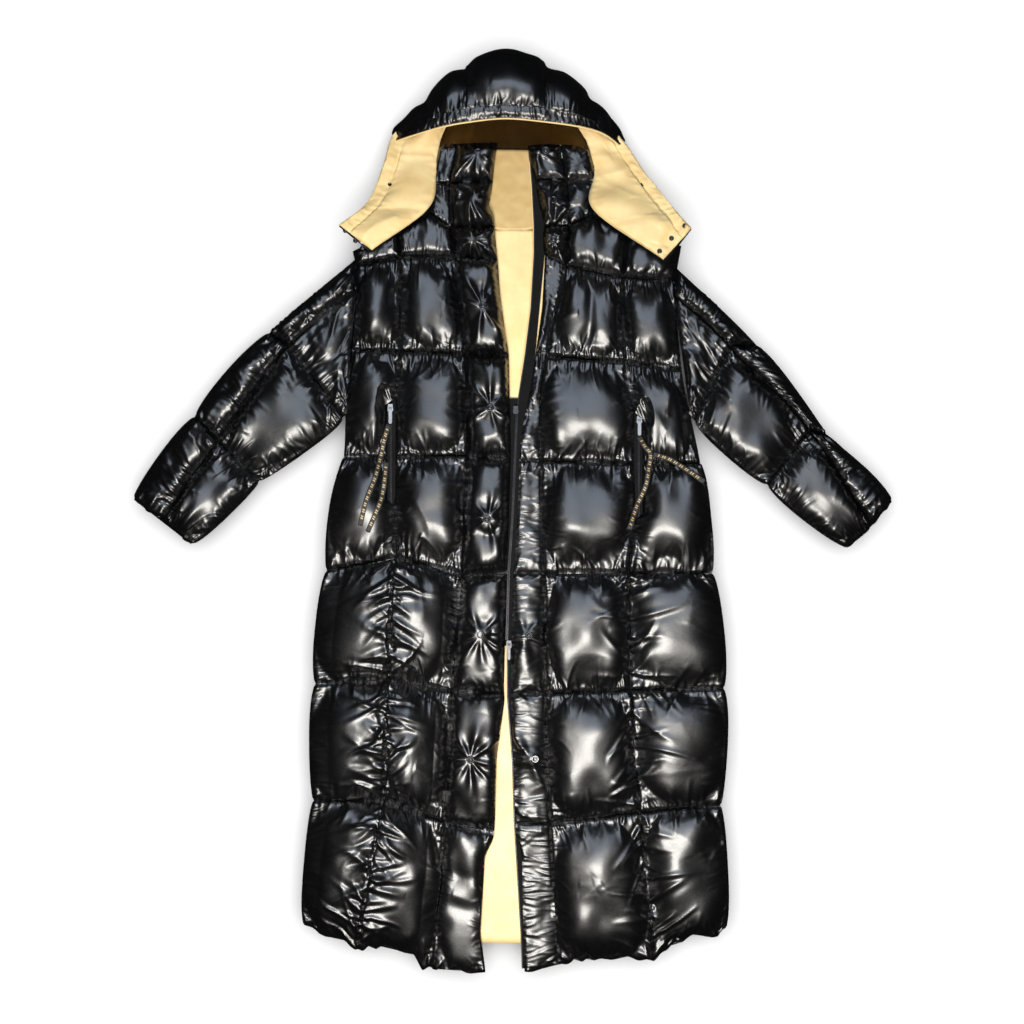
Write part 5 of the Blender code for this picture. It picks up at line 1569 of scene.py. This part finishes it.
def addRibbon(name, points, settings):
    route = ribbonRoute(points, settings["step"])
    heading = np.gradient(route, axis=0)
    heading /= norm(heading, axis=1)[:, None]
    aside = np.stack((-heading[:, 1], heading[:, 0]), axis=1) * settings["width"] / 2
    shares = (-1.0, -0.5, 0.0, 0.5, 1.0)
    heights = np.array([[heightAt(panelTree, *(place + aside[i] * share), frontLevel)
                         for share in shares] for i, place in enumerate(route)])
    padded = np.pad(heights.max(axis=1), 2, mode="edge")    # a ribbon bridges the small dips
    level = np.array([padded[k:k + 5].max() for k in range(len(route))])
    level = np.convolve(np.pad(level, 2, mode="edge"), np.ones(5) / 5, mode="valid") + settings["lift"]
    upper = np.zeros((len(route), len(shares), 3))
    for j, share in enumerate(shares):
        upper[:, j, :2] = route + aside * share
        upper[:, j, 2] = np.maximum(level - abs(share) * 0.4, heights[:, j] + 0.4)
    normals = np.broadcast_to((0.0, 0.0, 1.0), upper.shape)
    vertices, faces = closeCurved(upper, upper - normals * settings["thickness"])
    item = addMesh(name + "_ribbon", vertices, faces, ribbonBlack)
    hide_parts("ribbon_" + name)
    path = upper[:, 2] * mm
    length = float(norm(np.diff(path, axis=0), axis=1).sum())
    vertices, faces = [], []
    for k in range(2, len(route) - 3):
        if k % 3 == 0:      # a gap between two groups of dashes
            continue
        step = upper[k + 1] - upper[k]
        quad = [upper[k, 1] + step[1] * 0.12, upper[k, 3] + step[3] * 0.38,
                upper[k, 3] + step[3] * 0.88, upper[k, 1] + step[1] * 0.62]
        faces += ringFaces(len(vertices), 2, 4)
        vertices += [p + (0, 0, settings[key]) for key in ("dashTop", "dashFoot") for p in quad]
    dashes = addMesh(name + "_print", vertices, faces, foilGold, smooth=False)


for name, points in ribbonRoutes.items():
    addRibbon(name, points, ribbonSettings)
print("ribbons made")


# piping
def addPiping(name, points, radius, sides=8):
    route = np.array(points, float)
    heading = np.gradient(route, axis=0)
    heading /= np.maximum(norm(heading, axis=1)[:, None], 1e-6)
    aside = np.cross(heading, (0.0, 0.0, 1.0))
    aside /= np.maximum(norm(aside, axis=1)[:, None], 1e-6)
    above = np.cross(aside, heading)
    turns = [2 * math.pi * k / sides for k in range(sides)]
    rings = [route + aside * math.cos(t) * radius + above * math.sin(t) * radius for t in turns]
    vertices = np.stack(rings, axis=1).reshape(-1, 3)
    addMesh(name, vertices, ringFaces(0, len(route), sides), liningTan)


route = [(zipAt(y) - 1.0, y, tapeTop + 0.2) for y in np.arange(578.0, 215.0, -6.0)]
addPiping("zip_piping", route, 0.9)
route = smoothAlong(np.array(crown[-1][1:], float), np.linspace(0, 8, 90)) - (0.0, 1.5, 2.0)
addPiping("brim_piping", route, 1.5)

# floor and light
floorMesh = bpy.data.meshes.new("floor")
floorMesh.from_pydata([(-15, -15, 0), (15, -15, 0), (15, 15, 0), (-15, 15, 0)], [], [(0, 1, 2, 3)])
floor = bpy.data.objects.new("floor", floorMesh)
scene.collection.objects.link(floor)
floorPaper, tree, shader = newMaterial("palePaper")
shader.inputs["Roughness"].default_value = 0.9
tree.links.new(blendColours(tree, noiseNode(tree, 2.0, 2.0), (0.86, 0.86, 0.86), (0.90, 0.90, 0.90)),
               shader.inputs["Base Color"])
floorMesh.materials.append(floorPaper)
floor.visible_glossy = False
floor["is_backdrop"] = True

# flags keep both lamps off the deep hood and the backdrop, and the blue window off the neck too
deepHood = ("hood_lining_rear", "crown_lining_cloth")
lamps = (
    {"name": "low_softbox", "at": (-0.05, -0.50, 1.6), "aim": (-0.05, -0.35, 0.0), "size": (0.75, 0.5),
     "power": 38.0, "colour": (1.0, 0.96, 0.90), "flagged": (*deepHood, "floor")},
    {"name": "sky_window", "at": (0.0, 1.05, 2.6), "aim": (0.0, 0.2, 0.0), "size": (1.6, 2.1),
     "power": 42.0, "colour": (0.74, 0.84, 1.0), "flagged": (*deepHood, "collar_lining_cloth", "floor")},
)
for lamp in lamps:
    data = bpy.data.lights.new(lamp["name"], "AREA")
    data.shape = "RECTANGLE"
    data.size, data.size_y = lamp["size"]
    data.energy, data.color = lamp["power"], lamp["colour"]
    item = bpy.data.objects.new(lamp["name"], data)
    item.location = lamp["at"]
    item.rotation_euler = (Vector(lamp["aim"]) - Vector(lamp["at"])).to_track_quat("-Z", "Y").to_euler()
    item.visible_camera = False
    scene.collection.objects.link(item)
    flagged = bpy.data.collections.new(lamp["name"] + "_flag")
    for name in lamp["flagged"]:
        flagged.objects.link(scene.objects[name])
    for member in flagged.collection_objects:
        member.light_linking.link_state = "EXCLUDE"
    item.light_linking.receiver_collection = flagged
worldSettings = {"fill": 0.018, "backdrop": 1.0, "lampPower": 4.0, "lampAngle": 1.6}
world = bpy.data.worlds.new("studio")
world.use_nodes = True
tree = world.node_tree
fill, wall = tree.nodes["Background"], tree.nodes.new("ShaderNodeBackground")
fill.inputs["Strength"].default_value = worldSettings["fill"]
wall.inputs["Strength"].default_value = worldSettings["backdrop"]
for node in (fill, wall):
    node.inputs["Color"].default_value = (1.0, 1.0, 1.0, 1.0)
path, mix = tree.nodes.new("ShaderNodeLightPath"), tree.nodes.new("ShaderNodeMixShader")
tree.links.new(path.outputs["Is Camera Ray"], mix.inputs[0])
tree.links.new(fill.outputs[0], mix.inputs[1])
tree.links.new(wall.outputs[0], mix.inputs[2])
tree.links.new(mix.outputs[0], tree.nodes["World Output"].inputs["Surface"])
scene.world = world
scene.view_settings.view_transform = "Standard"

# a separate lamp keeps the backdrop white
backdropLamp = bpy.data.lights.new("backdrop_lamp", "SUN")
backdropLamp.energy, backdropLamp.angle = worldSettings["lampPower"], worldSettings["lampAngle"]
item = bpy.data.objects.new("backdrop_lamp", backdropLamp)
scene.collection.objects.link(item)
onlyFloor = bpy.data.collections.new("backdrop")
onlyFloor.objects.link(floor)
item.light_linking.receiver_collection = onlyFloor

triangles = 0
graph = bpy.context.evaluated_depsgraph_get()
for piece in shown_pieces():
    mesh = piece.evaluated_get(graph).to_mesh()
    triangles += sum(len(face.vertices) - 2 for face in mesh.polygons)
print("triangles:", triangles)
